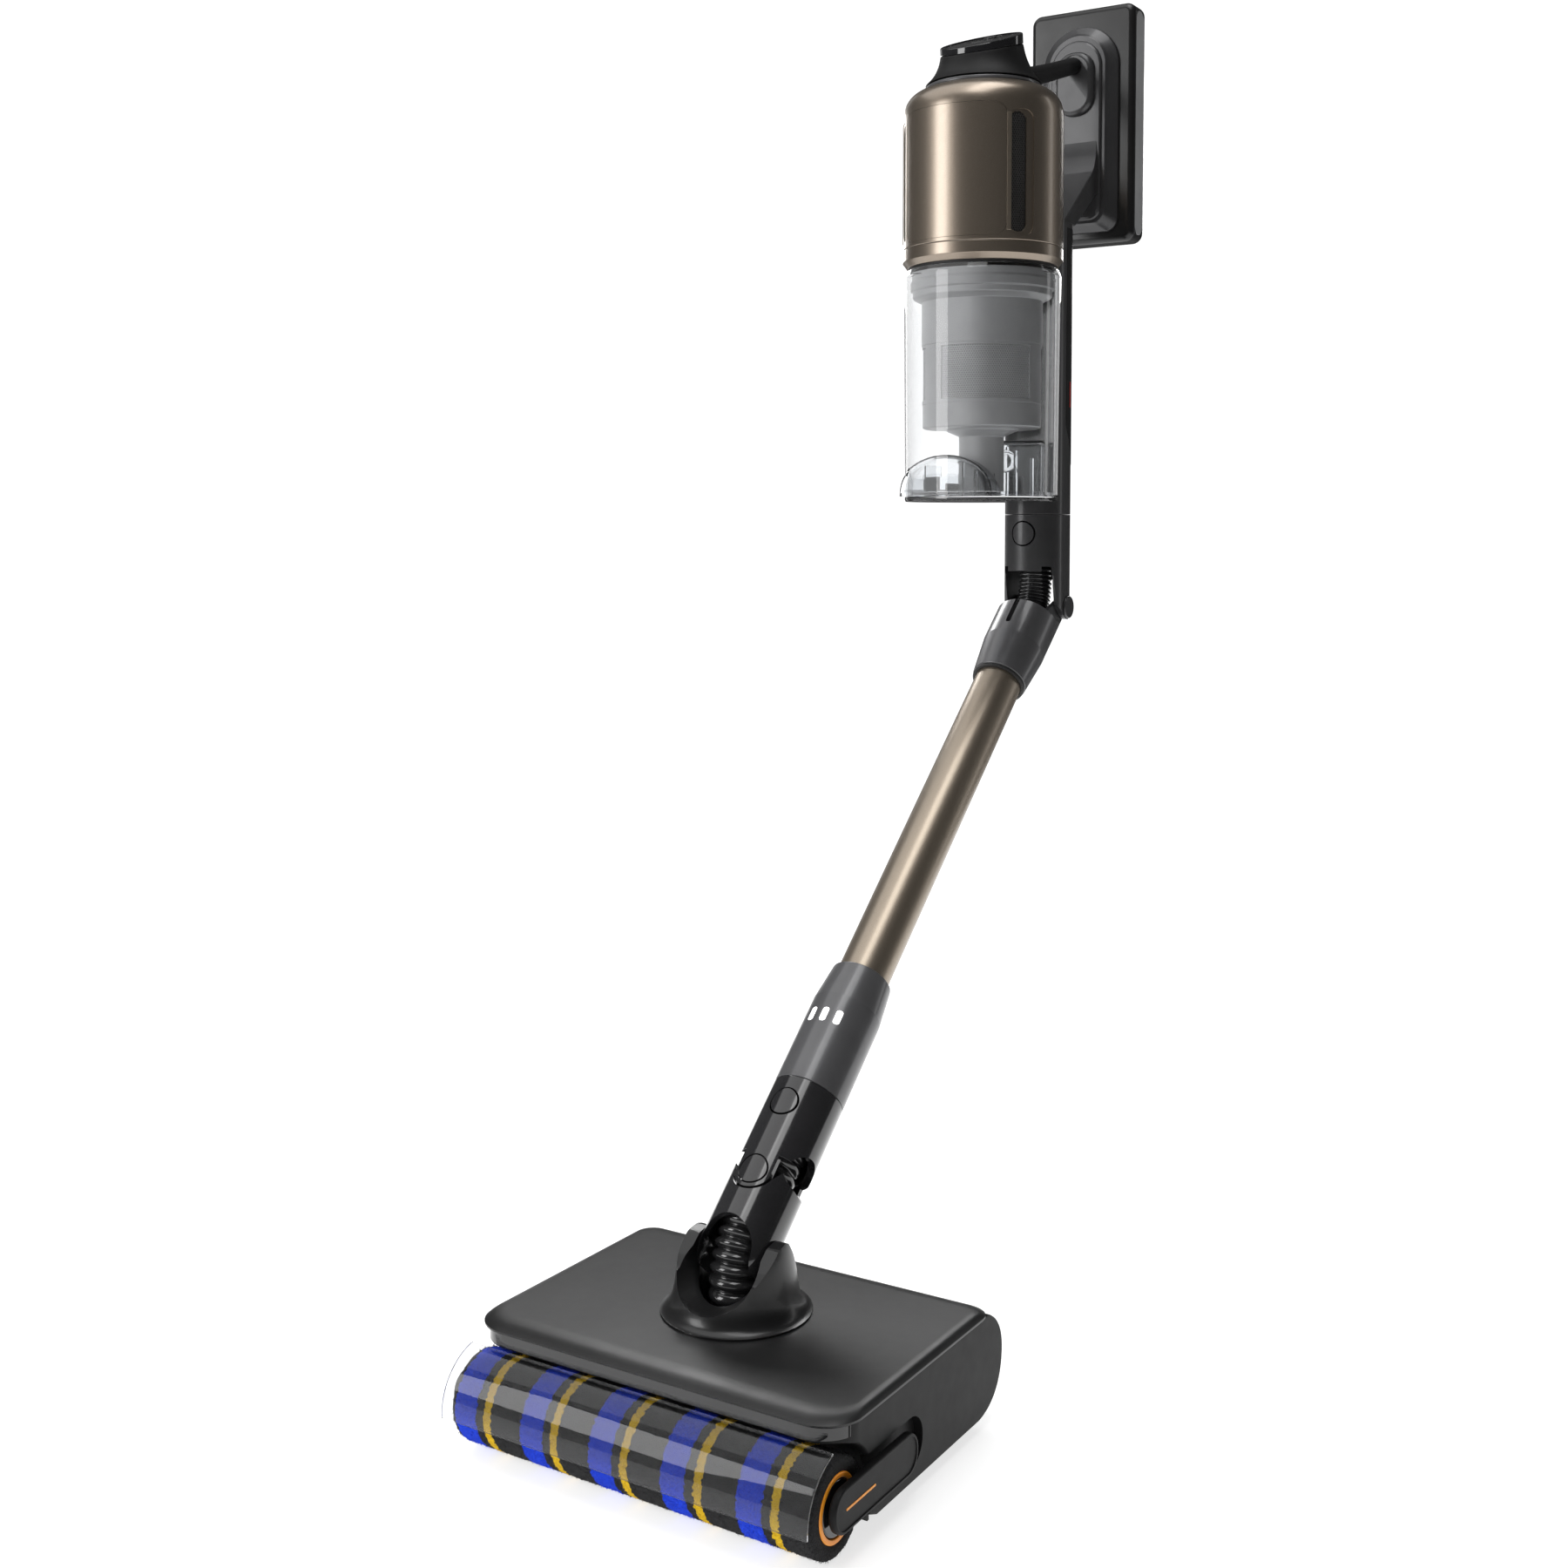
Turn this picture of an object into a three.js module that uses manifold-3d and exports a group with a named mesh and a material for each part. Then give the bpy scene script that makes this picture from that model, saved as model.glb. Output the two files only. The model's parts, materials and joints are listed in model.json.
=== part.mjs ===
// Cordless stick vacuum with a roller floor head, a folding telescopic wand and an upright handheld unit.
// Millimetres, +Z up. X runs across the head, Y runs from the roller (front) to the battery (rear).
import * as THREE from 'three';
import { mergeVertices } from 'three/addons/utils/BufferGeometryUtils.js';
import Module from 'manifold-3d';

const wasm = await Module();
wasm.setup();

// ---------------------------------------------------------------- driving dimensions
const GAP = 0.3;                        // clearance kept between neighbouring pieces

// Floor head. Y is measured from the roller axis, Z from the floor.
const ROLLER_R = 30;
const ROLLER_HALF = 131;
const CORE_R = 24;
const CORE_BORE = 20;
const MOTOR_END = -30;
const BAY_R = 33.2;                     // roller bay in the head base
const SHIELD_R = 36;
const HEAD_HALF = 137;
const HEAD_REAR = 207;
const BASE_BOTTOM = 8;
const CREASE_Z = 74.3;                  // joint between head base and top cover
const COVER_TOP = 80;
const LATCH_PROUD = 140;                // outer face of the roller latches
const NECK_Y = 94.5;                    // neck pitch pivot
const NECK_Z = 116;
const WHEEL_R = 14;
const WHEEL_Y = 176;

// Wand. Stations are distances from the neck pivot along the wand.
const LEAN = THREE.MathUtils.degToRad(48.16);
const LINK_R = 25;
const LINK_BORE = 21;
const TRUNNION_END = 29.5;
const FORK_HALF = 19.5;                 // half width of the opening between the sleeve's cheeks
const STEER_W = 47;
const STEER_SWING = THREE.MathUtils.degToRad(25);
const TONGUE_R = 13.6;
const TONGUE_FLAT = 17.9;               // inner face of the steering tongues
const HEAD_BUTTON_W = 98;
const CONNECTOR_TOP_W = 117.5;
const LED_W = 168;
const LIGHT_R = 21.5;                   // bore around the light guide
const BODY_EDGE_W = 186;
const BODY_TOP_W = 215;
const TUBE_R = 18.7;
const TUBE_TOP_W = 522;
const COLLAR_MOUTH_W = 510;
const COLLAR_EDGE_W = 545;
const COLLAR_RIM_W = 579;
const COLLAR_MOUTH_R = 22;
const FOLD_W = 606;
const FOLD_BACK = 9;                    // fold pivot lies this far behind the wand axis

// Handheld unit. Heights are above the fold pivot, y is behind it.
const GRIP_R = 25;                      // half width of the upper connector and the spine
const GRIP_FRONT_Y = -10;               // centres of the round front and round rear
const GRIP_REAR_Y = -1;
const ARCH_TOP = 30;
const HANDHELD_BUTTON_Z = 61;
const SEAM_Z = 76.5;
const SPINE_TOP = 316;
const BIN_Y = -111.5;
const BIN_R = 60;
const BIN_BOTTOM = 86;
const BIN_TOP = 264.5;
const BARREL_R = 62;
const BARREL_BOTTOM = 266.5;
const BARREL_EDGE = 383;
const BARREL_TOP = 403;
const PANEL_HALF_WIDTH = 42.3;
const NECK_TOP = 441;                   // centre of the tilted display disc
const NECK_TOP_R = 31.8;
const NECK_TILT = THREE.MathUtils.degToRad(21);
const BATTERY_FRONT = 78.5;
const BATTERY_BACK = 105.5;
const BATTERY_HALF = 47.8;
const BATTERY_LOW = 310;
const BATTERY_HIGH = 510.6;
const COLUMN_Y = 65.5;                  // front face of the handle column

// The model's origin is the middle of its box, on the floor.
const FOLD_Y = NECK_Y + FOLD_W * Math.sin(LEAN) + FOLD_BACK * Math.cos(LEAN);
const FOLD_Z = NECK_Z + FOLD_W * Math.cos(LEAN) - FOLD_BACK * Math.sin(LEAN);
const ORIGIN_Y = (FOLD_Y + BATTERY_BACK - SHIELD_R) / 2;

// ---------------------------------------------------------------- materials
function finish(color, roughness, metalness, opacity = 1) {
  return new THREE.MeshStandardMaterial({
    color, roughness, metalness, opacity, transparent: opacity < 1,
  });
}
const SATIN_CHARCOAL = finish(0x3c3c3d, 0.42, 0.1);
const MATTE_BLACK = finish(0x262627, 0.7, 0);
const GLOSS_BLACK = finish(0x0d0d0e, 0.12, 0.1);
const GUNMETAL = finish(0x4a4b4d, 0.22, 0.7);
const BRONZE = finish(0x8c7a68, 0.32, 0.85);
const CLEAR = finish(0xcfd4d8, 0.08, 0, 0.3);
const SMOKE = finish(0x55585c, 0.1, 0, 0.45);
const CYCLONE_GREY = finish(0x8d8f92, 0.45, 0.2);
const PILE_BLUE = finish(0x1440f0, 0.95, 0);
const ORANGE = finish(0xf08a1c, 0.4, 0);
const LIGHT_GREY = finish(0xa8aaac, 0.35, 0.3);
const LED_WHITE = finish(0xffffff, 0.3, 0);
const STEEL = finish(0xb4b6b8, 0.3, 0.95);
const RUBBER = finish(0x151515, 0.85, 0);
const COPPER = finish(0x9a5b36, 0.35, 0.9);

// ---------------------------------------------------------------- geometry helpers
const SIDES = 20;                       // facets round a wand-sized cylinder
const WIDE = 28;                        // round the bin and barrel
const SMALL = 12;                       // round pins and buttons

function solid(geometry) {
  const bare = geometry.clone();
  for (const name of Object.keys(bare.attributes)) {
    if (name !== 'position') bare.deleteAttribute(name);
  }
  const merged = mergeVertices(bare, 1e-4);
  const index = merged.index.array;
  const kept = [];
  for (let i = 0; i < index.length; i += 3) {
    const [a, b, c] = [index[i], index[i + 1], index[i + 2]];
    if (a !== b && b !== c && c !== a) kept.push(a, b, c);
  }
  return new wasm.Manifold(new wasm.Mesh({
    numProp: 3,
    vertProperties: new Float32Array(merged.attributes.position.array),
    triVerts: new Uint32Array(kept),
  }));
}

function geometryOf(body) {
  const mesh = body.getMesh();
  const geometry = new THREE.BufferGeometry();
  geometry.setAttribute('position', new THREE.BufferAttribute(new Float32Array(mesh.vertProperties), 3));
  geometry.setIndex(new THREE.BufferAttribute(new Uint32Array(mesh.triVerts), 1));
  return geometry;
}

const cut = (base, ...tools) => geometryOf(tools.reduce((s, t) => s.subtract(solid(t)), solid(base)));
const join = (base, ...others) => geometryOf(others.reduce((s, t) => s.add(solid(t)), solid(base)));
const common = (base, ...others) => geometryOf(others.reduce((s, t) => s.intersect(solid(t)), solid(base)));

function block(x0, x1, y0, y1, z0, z1) {
  const geometry = new THREE.BoxGeometry(x1 - x0, y1 - y0, z1 - z0);
  return geometry.translate((x0 + x1) / 2, (y0 + y1) / 2, (z0 + z1) / 2);
}

// Turns [radius, height] points about the Z axis. The profile starts and ends on the axis, or closes.
function lathe(profile, sides = SIDES) {
  const points = profile.map(([r, z]) => new THREE.Vector2(r, z));
  return new THREE.LatheGeometry(points, sides).rotateX(Math.PI / 2);
}

function ring(outer, inner, z0, z1, sides = SIDES) {
  return lathe([[inner, z0], [outer, z0], [outer, z1], [inner, z1], [inner, z0]], sides);
}

function rod(radius, z0, z1, sides = SIDES) {
  return lathe([[0, z0], [radius, z0], [radius, z1], [0, z1]], sides);
}

// Aims a shape made along Z so that it lies along X or along Y.
const alongX = (geometry) => geometry.rotateY(Math.PI / 2);
const alongY = (geometry) => geometry.rotateX(-Math.PI / 2);

function prism(shape, depth, bevel = 0, curveSegments = 3) {
  return new THREE.ExtrudeGeometry(shape, {
    depth: depth - 2 * bevel,
    bevelEnabled: bevel > 0,
    bevelThickness: bevel,
    bevelSize: bevel,
    bevelOffset: -bevel,
    bevelSegments: 1,
    curveSegments,
  }).translate(0, 0, bevel);
}

// Side outline in (y, z), extruded across X from -half to half.
function sideProfile(shape, half, bevel = 0, curveSegments = 3) {
  const geometry = prism(shape, 2 * half, bevel, curveSegments).translate(0, 0, -half);
  return geometry.applyMatrix4(new THREE.Matrix4().makeBasis(
    new THREE.Vector3(0, 1, 0), new THREE.Vector3(0, 0, 1), new THREE.Vector3(1, 0, 0),
  ));
}

// Front outline in (x, z), extruded along Y from y0 to y1.
function frontProfile(shape, y0, y1, bevel = 0, curveSegments = 3) {
  return prism(shape, y1 - y0, bevel, curveSegments).rotateX(Math.PI / 2).translate(0, y1, 0);
}

function roundedRect(x0, x1, y0, y1, radius) {
  const shape = new THREE.Shape();
  shape.moveTo(x0 + radius, y0);
  shape.lineTo(x1 - radius, y0);
  shape.absarc(x1 - radius, y0 + radius, radius, -Math.PI / 2, 0);
  shape.lineTo(x1, y1 - radius);
  shape.absarc(x1 - radius, y1 - radius, radius, 0, Math.PI / 2);
  shape.lineTo(x0 + radius, y1);
  shape.absarc(x0 + radius, y1 - radius, radius, Math.PI / 2, Math.PI);
  shape.lineTo(x0, y0 + radius);
  shape.absarc(x0 + radius, y0 + radius, radius, Math.PI, 1.5 * Math.PI);
  return shape;
}

function polygon(points) {
  return new THREE.Shape(points.map(([x, y]) => new THREE.Vector2(x, y)));
}

// Round-ended outline about two centres on the y axis.
function capsule(radius, yFront, yRear) {
  const shape = new THREE.Shape();
  shape.absarc(0, yRear, radius, 0, Math.PI);
  shape.absarc(0, yFront, radius, Math.PI, 2 * Math.PI);
  return shape;
}

// Skins a row of rings that all have the same number of points, and caps both ends.
function loft(rings) {
  const count = rings[0].length;
  const points = rings.flat();
  const index = [];
  for (let r = 0; r < rings.length - 1; r += 1) {
    for (let i = 0; i < count; i += 1) {
      const a = r * count + i;
      const b = r * count + ((i + 1) % count);
      index.push(a, b, b + count, a, b + count, a + count);
    }
  }
  for (const [ringIndex, flip] of [[0, true], [rings.length - 1, false]]) {
    const middle = new THREE.Vector3();
    rings[ringIndex].forEach((p) => middle.addScaledVector(p, 1 / count));
    points.push(middle);
    const hub = points.length - 1;
    for (let i = 0; i < count; i += 1) {
      const a = ringIndex * count + i;
      const b = ringIndex * count + ((i + 1) % count);
      index.push(...(flip ? [hub, b, a] : [hub, a, b]));
    }
  }
  const geometry = new THREE.BufferGeometry().setFromPoints(points);
  geometry.setIndex(index);
  return geometry;
}

function addPart(group, name, geometry, material) {
  const bare = geometry.clone();
  bare.computeVertexNormals();
  const mesh = new THREE.Mesh(bare, material);
  mesh.name = name;
  group.add(mesh);
  return mesh;
}

// ---------------------------------------------------------------- floor head
// Outline of the head seen from the side, with the round roller bay at the front.
function headOutline(inset = 0) {
  const bottom = BASE_BOTTOM + inset;
  const shape = new THREE.Shape();
  shape.moveTo(-3 + inset, CREASE_Z);
  shape.lineTo(-3 + inset, 30 + BAY_R + 1.5);
  shape.absarc(0, 30, BAY_R + 1.5, THREE.MathUtils.degToRad(95), THREE.MathUtils.degToRad(-30), true);
  shape.lineTo(41, bottom);
  shape.lineTo(173, bottom);
  shape.bezierCurveTo(195, bottom + 2, HEAD_REAR - inset, 24, HEAD_REAR - inset, 45);
  shape.bezierCurveTo(HEAD_REAR - inset, 60, 198, CREASE_Z - 5, 184, CREASE_Z);
  return shape;
}

function buildHeadShell(group) {
  const outer = sideProfile(headOutline(), HEAD_HALF, 1.5, 5);
  const trough = block(-126, 126, 46, 160, 13, 90);
  const intake = block(-38, 38, 20, 60, 22, 46);
  const wheelWells = [-1, 1].map((side) => block(side * 88 - 9, side * 88 + 9, 160, 196, 0, 32));
  const stubHoles = alongX(rod(3.3, -106, 106, 12)).translate(0, WHEEL_Y, WHEEL_R);
  const pocket = sideProfile(roundedRect(-30, 96, 17, 49, 15.9), 4, 0, 5).translate(ROLLER_HALF + 7.6, 0, 0);
  const rearTrough = block(-126, 126, 159, 194, 35, 90);
  const driveCap = sideProfile(roundedRect(-17, 80, 20, 46, 12.9), 2.9, 1.2, 4);
  driveCap.translate(2.9 - LATCH_PROUD, 0, 0);
  const base = cut(outer, trough, rearTrough, intake, ...wheelWells, stubHoles, pocket);
  addPart(group, 'head_base', join(base, driveCap), MATTE_BLACK);

  const lidPlan = roundedRect(-HEAD_HALF, HEAD_HALF, -7, 186, 24);
  const lid = common(
    prism(lidPlan, 12, 4, 5).translate(0, 0, COVER_TOP - 12),
    block(-200, 200, -50, 250, CREASE_Z + GAP, 100),
  );
  addPart(group, 'head_cover', cut(lid, rod(28, 60, 100).translate(0, NECK_Y, 0)), SATIN_CHARCOAL);
}

function buildRoller(group) {
  const centre = (geometry) => alongX(geometry).translate(0, 0, ROLLER_R);
  const pile = ring(ROLLER_R, CORE_R + GAP, -ROLLER_HALF, ROLLER_HALF, WIDE);
  addPart(group, 'roller_pile', centre(pile), PILE_BLUE);
  addPart(group, 'roller_core', centre(ring(CORE_R, CORE_BORE, -ROLLER_HALF, ROLLER_HALF)), RUBBER);
  const endRing = ring(CORE_BORE - GAP, 16.5, ROLLER_HALF - 4, ROLLER_HALF + 0.6);
  addPart(group, 'roller_end_ring', centre(endRing), ORANGE);
  const stub = rod(5, ROLLER_HALF, ROLLER_HALF + 3.4, SMALL);
  const hub = join(rod(16.2, ROLLER_HALF - 14, ROLLER_HALF + 0.4), stub);
  addPart(group, 'roller_idle_hub', centre(hub), MATTE_BLACK);

  // The motor and its gearbox sit inside the roller and turn it through a coupling.
  const shaftEnd = MOTOR_END + 12;
  const motor = join(rod(17, 4 - ROLLER_HALF, MOTOR_END, 16), rod(8, -134, 6 - ROLLER_HALF, SMALL),
    rod(3, MOTOR_END, shaftEnd, 12));
  addPart(group, 'roller_motor', centre(motor), STEEL);
  const shaftHole = rod(3.1, MOTOR_END, shaftEnd + 1, 12);
  const coupling = cut(rod(CORE_BORE - GAP, MOTOR_END + 2, shaftEnd + 6, 16), shaftHole);
  addPart(group, 'drive_coupling', centre(coupling), MATTE_BLACK);
}

// Thin clear guard that wraps the upper front of the roller, with an upright band under the cover's lip.
function buildShield(group) {
  const wall = 1.8;
  const shape = new THREE.Shape();
  const start = THREE.MathUtils.degToRad(102);
  const end = THREE.MathUtils.degToRad(184);
  shape.absarc(0, ROLLER_R, SHIELD_R, start, end, false);
  shape.absarc(0, ROLLER_R, SHIELD_R - wall, end, start, true);
  shape.lineTo(-6, CREASE_Z - 0.4);
  shape.lineTo(-7.8, CREASE_Z - 0.4);
  addPart(group, 'roller_shield', sideProfile(shape, HEAD_HALF - 4, 0, 8), CLEAR);
}

// Pill-shaped end latch that holds the roller in from the side.
function buildLatch(group) {
  const start = ROLLER_HALF + 4;
  const pill = sideProfile(roundedRect(-17, 80, 20, 46, 12.9), (LATCH_PROUD - start) / 2, 1.2, 4);
  pill.translate((LATCH_PROUD + start) / 2, 0, 0);
  const slot = block(LATCH_PROUD - 1, LATCH_PROUD + 2, -4, 29, 32.2, 34);
  addPart(group, 'roller_latch', cut(pill, slot), MATTE_BLACK);
}

function buildDuct(group) {
  const box = cut(block(-36, 36, 47, 122, 20, 50), block(-32, 32, 40, 118, 23, 45));
  const collar = rod(25, 46, 72).translate(0, NECK_Y, 0);
  const throat = rod(21, 30, 80).translate(0, NECK_Y, 0);
  addPart(group, 'suction_duct', cut(join(box, collar), throat), MATTE_BLACK);
}

function buildScraper(group) {
  const blade = sideProfile(polygon([[42, 5.2], [44.6, 5.2], [44.6, 1.2], [42.6, 1.2]]), 126);
  addPart(group, 'scraper_blade', blade, RUBBER);
}

function buildWheels(group) {
  for (const [side, name] of [[1, 'right'], [-1, 'left']]) {
    const wheel = alongX(join(rod(WHEEL_R, -7, 7, 16), rod(3, -12, 12, 12)));
    addPart(group, `rear_wheel_${name}`, wheel.translate(side * 88, WHEEL_Y, WHEEL_R), RUBBER);
  }
}

// Round flange, waisted collar and two ears that carry the neck pivot.
function buildYoke(group) {
  const skin = lathe([
    [0, COVER_TOP + GAP], [49, COVER_TOP + GAP], [49, COVER_TOP + 1.6], [44, COVER_TOP + 3],
    [39, COVER_TOP + 7], [36, COVER_TOP + 13], [34, COVER_TOP + 22], [32.6, COVER_TOP + 34],
    [31.6, COVER_TOP + 44], [30, COVER_TOP + 47.5],
    [0, COVER_TOP + 47.5],
  ], WIDE).translate(0, NECK_Y, 0);
  const swing = LINK_R + 0.7;
  const cradle = alongY(rod(swing, -60, 60)).translate(0, NECK_Y, NECK_Z);
  const mouth = block(-swing, swing, NECK_Y - 60, NECK_Y + 60, NECK_Z, NECK_Z + 40);
  const bore = rod(24, 70, 120).translate(0, NECK_Y, 0);
  const pinHoles = alongX(rod(6.3, -40, 40, SMALL)).translate(0, NECK_Y, NECK_Z);
  addPart(group, 'neck_yoke', cut(skin, cradle, mouth, bore, pinHoles), GLOSS_BLACK);
}

// ---------------------------------------------------------------- wand
// Outline, in (x, w) about the steering pivot, of everything above the sleeve's top edge.
function sleeveTopCut() {
  const r = TONGUE_R + 0.5;
  const sin = Math.sin(STEER_SWING);
  const cos = Math.cos(STEER_SWING);
  const shape = new THREE.Shape();
  shape.absarc(0, 0, r, Math.PI + STEER_SWING, 2 * Math.PI - STEER_SWING, false);
  shape.lineTo(r * cos + 12 * sin, -r * sin + 12 * cos);
  shape.lineTo(LINK_R + 1, -1);
  shape.lineTo(40, -1);
  shape.lineTo(40, 60);
  shape.lineTo(-40, 60);
  shape.lineTo(-40, -1);
  shape.lineTo(-LINK_R - 1, -1);
  shape.lineTo(-r * cos - 12 * sin, -r * sin + 12 * cos);
  return shape;
}

function buildSleeve(group) {
  const round = join(new THREE.SphereGeometry(LINK_R, SIDES, 8), block(-40, 40, -40, 40, 0, 100));
  let sleeve = common(rod(LINK_R, -LINK_R, STEER_W + 20), round);
  sleeve = cut(sleeve, rod(LINK_BORE, -40, 100));
  const topCut = frontProfile(sleeveTopCut(), -40, 40, 0, 8).translate(0, 0, STEER_W);
  sleeve = cut(sleeve, topCut);
  const arch = alongY(rod(FORK_HALF, -60, 60)).translate(0, 0, -5);
  const fork = join(arch, block(-FORK_HALF, FORK_HALF, -60, 60, -60, -5));
  const trunnions = cut(alongX(rod(6, -TRUNNION_END, TRUNNION_END, SMALL)), rod(LINK_BORE + 1, -20, SMALL));
  sleeve = join(cut(sleeve, fork), trunnions);
  const lugShape = roundedRect(-11, 11, -24, 11, 10.5);
  const lugs = [[-TONGUE_FLAT + 0.4, -12], [12, TONGUE_FLAT - 0.4]].map(([y0, y1]) => (
    frontProfile(lugShape, y0, y1).translate(0, 0, STEER_W)
  ));
  const footing = cut(ring(LINK_BORE + 0.5, 14, STEER_W - 26, STEER_W - 16), block(-40, 40, -12, 12, 0, 60),
    block(-40, -11, -40, 40, 0, 60), block(11, 40, -40, 40, 0, 60));
  const anchored = join(sleeve, footing, ...lugs);
  const screwHole = alongY(rod(4.3, -40, 0, SMALL)).translate(0, 0, STEER_W);
  addPart(group, 'neck_sleeve', cut(anchored, screwHole), GLOSS_BLACK);

  const disc = common(alongY(rod(10.3, -30, -18.2, 16)), rod(LINK_R, -30, 30, WIDE));
  const cap = join(disc, alongY(rod(4, -19, -12, SMALL)));
  addPart(group, 'steer_pivot_cap', cap.translate(0, 0, STEER_W), GLOSS_BLACK);
}

function buildConnector(group) {
  const skirtLow = STEER_W + 14;
  const skirt = ring(LINK_R, 19.5, skirtLow, CONNECTOR_TOP_W);
  const tongueShape = new THREE.Shape();
  tongueShape.absarc(0, 0, TONGUE_R, Math.PI, 2 * Math.PI, false);
  tongueShape.lineTo(TONGUE_R, 24);
  tongueShape.lineTo(-TONGUE_R, 24);
  const tongues = [[-30, -TONGUE_FLAT], [TONGUE_FLAT, 30]].map(([y0, y1]) => (
    common(frontProfile(tongueShape, y0, y1, 0, 8).translate(0, 0, STEER_W), rod(LINK_R, 0, 100))
  ));
  const lugRoom = frontProfile(roundedRect(-40, 40, 0, 17, 8), -TONGUE_FLAT, TONGUE_FLAT);
  lugRoom.translate(0, 0, STEER_W);
  let body = cut(join(skirt, ...tongues), lugRoom);
  body = cut(body, alongY(rod(10.6, -40, 0, 16)).translate(0, 0, STEER_W));
  body = cut(body, alongY(rod(10.5, -40, -10, 16)).translate(0, 0, HEAD_BUTTON_W));
  addPart(group, 'head_connector', body, GLOSS_BLACK);

  const button = common(
    alongY(rod(10, -40, -19.9, 16)).translate(0, 0, HEAD_BUTTON_W),
    rod(LINK_R + 0.5, 0, 200, WIDE),
  );
  addPart(group, 'head_release_button', button, GLOSS_BLACK);
}

function buildWandBody(group) {
  const low = CONNECTOR_TOP_W + GAP;
  const profile = [
    [19.5, low], [LINK_R, low], [LINK_R, BODY_EDGE_W], [COLLAR_MOUTH_R, BODY_TOP_W - 1.5],
    [COLLAR_MOUTH_R - 1, BODY_TOP_W], [TUBE_R + GAP, BODY_TOP_W], [TUBE_R + GAP, BODY_EDGE_W + 4],
    [LIGHT_R, BODY_EDGE_W - 4], [LIGHT_R, low + 4], [19.5, low + 2], [19.5, low],
  ];
  const angles = [-24, 0, 24].map((angle) => THREE.MathUtils.degToRad(angle));
  const window = (grow, y0, y1) => angles.map((angle) => (
    frontProfile(roundedRect(-2.1 - grow, 2.1 + grow, -6.1 - grow, 6.1 + grow, 1.9), y0, y1)
      .rotateZ(angle).translate(0, 0, LED_W)
  ));
  addPart(group, 'wand_body', cut(lathe(profile), ...window(GAP, -40, -15)), GUNMETAL);
  const guide = common(
    ring(LIGHT_R - GAP, LIGHT_R - 2.2, LED_W - 7, LED_W + 7),
    block(-12, 12, -40, 0, 0, 300),
  );
  addPart(group, 'status_light', join(guide, ...window(0, -LINK_R - 0.1, 1 - LIGHT_R)), LED_WHITE);
  addPart(group, 'bronze_tube', ring(TUBE_R, TUBE_R - 1.2, BODY_EDGE_W + 5, TUBE_TOP_W), BRONZE);
  addPart(group, 'inner_tube', ring(TUBE_R - 1.6, TUBE_R - 2.8, 330, COLLAR_EDGE_W + 8), STEEL);
}

function buildCollar(group) {
  const profile = [
    [TUBE_R + 0.4, COLLAR_MOUTH_W], [COLLAR_MOUTH_R, COLLAR_MOUTH_W], [LINK_R + 0.4, COLLAR_EDGE_W],
    [LINK_R + 0.4, COLLAR_RIM_W + 17], [LINK_BORE, COLLAR_RIM_W + 17], [LINK_BORE, COLLAR_EDGE_W + 9],
    [TUBE_R - 1.3, COLLAR_EDGE_W + 9], [TUBE_R - 1.3, TUBE_TOP_W + 3], [TUBE_R + 0.4, TUBE_TOP_W + 3],
    [TUBE_R + 0.4, COLLAR_MOUTH_W],
  ];
  const rimSlope = sideProfile(polygon([[-60, COLLAR_RIM_W - 8], [-26, COLLAR_RIM_W], [0, COLLAR_RIM_W + 2],
    [14, COLLAR_RIM_W + 12], [60, COLLAR_RIM_W + 14], [60, 680], [-60, 680]]), 60);
  let collar = cut(lathe(profile), rimSlope);
  const earOutline = new THREE.Shape();
  earOutline.absarc(FOLD_BACK, FOLD_W, 9.5, -0.6, Math.PI - 0.75, false);
  earOutline.lineTo(-12, COLLAR_RIM_W - 3);
  earOutline.lineTo(-12, COLLAR_EDGE_W + 12);
  earOutline.lineTo(16, COLLAR_EDGE_W + 12);
  for (const side of [-1, 1]) {
    const ear = sideProfile(earOutline, 1.8).translate(side * 18.4, 0, 0);
    collar = join(collar, ear);
  }
  const slotW0 = COLLAR_RIM_W - 26;
  const frontSlot = block(-2.2, 2.2, -LINK_R - 5, -LINK_R + 1.4, slotW0, COLLAR_RIM_W + 5);
  const buttonHole = frontProfile(roundedRect(-4.3, 4.3, -7.3, 7.3, 3), LINK_BORE - 4, 40);
  buttonHole.translate(0, 0, 562);
  const pinHole = alongX(rod(5.3, -40, 40, SMALL)).translate(0, FOLD_BACK, FOLD_W);
  addPart(group, 'fold_collar', cut(collar, frontSlot, buttonHole, pinHole), GUNMETAL);

  const button = frontProfile(roundedRect(-4, 4, -7, 7, 2.8), LINK_BORE + 0.6, LINK_R + 2);
  button.translate(0, 0, 562);
  addPart(group, 'extension_button', button, GLOSS_BLACK);
  const seal = ring(COLLAR_MOUTH_R - 0.6, TUBE_R + 0.4, COLLAR_MOUTH_W - 2.6, COLLAR_MOUTH_W - GAP);
  addPart(group, 'collar_seal', seal, RUBBER);
}

// Plain outer shape of a bellows: a round solid that bends from one straight line to another.
function bellows(start, corner, end, radius, steps = 6) {
  const knots = [start, corner, end].map(([y, z]) => new THREE.Vector3(0, y, z));
  const curve = new THREE.QuadraticBezierCurve3(...knots);
  const section = new THREE.Shape();
  section.absarc(0, 0, radius, 0, 2 * Math.PI);
  return new THREE.ExtrudeGeometry(section, { steps, curveSegments: 6, extrudePath: curve });
}

// A point on the wand axis, given in the upright frame of the floor head.
const onWand = (w) => [NECK_Y + w * Math.sin(LEAN), NECK_Z + w * Math.cos(LEAN)];

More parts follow.
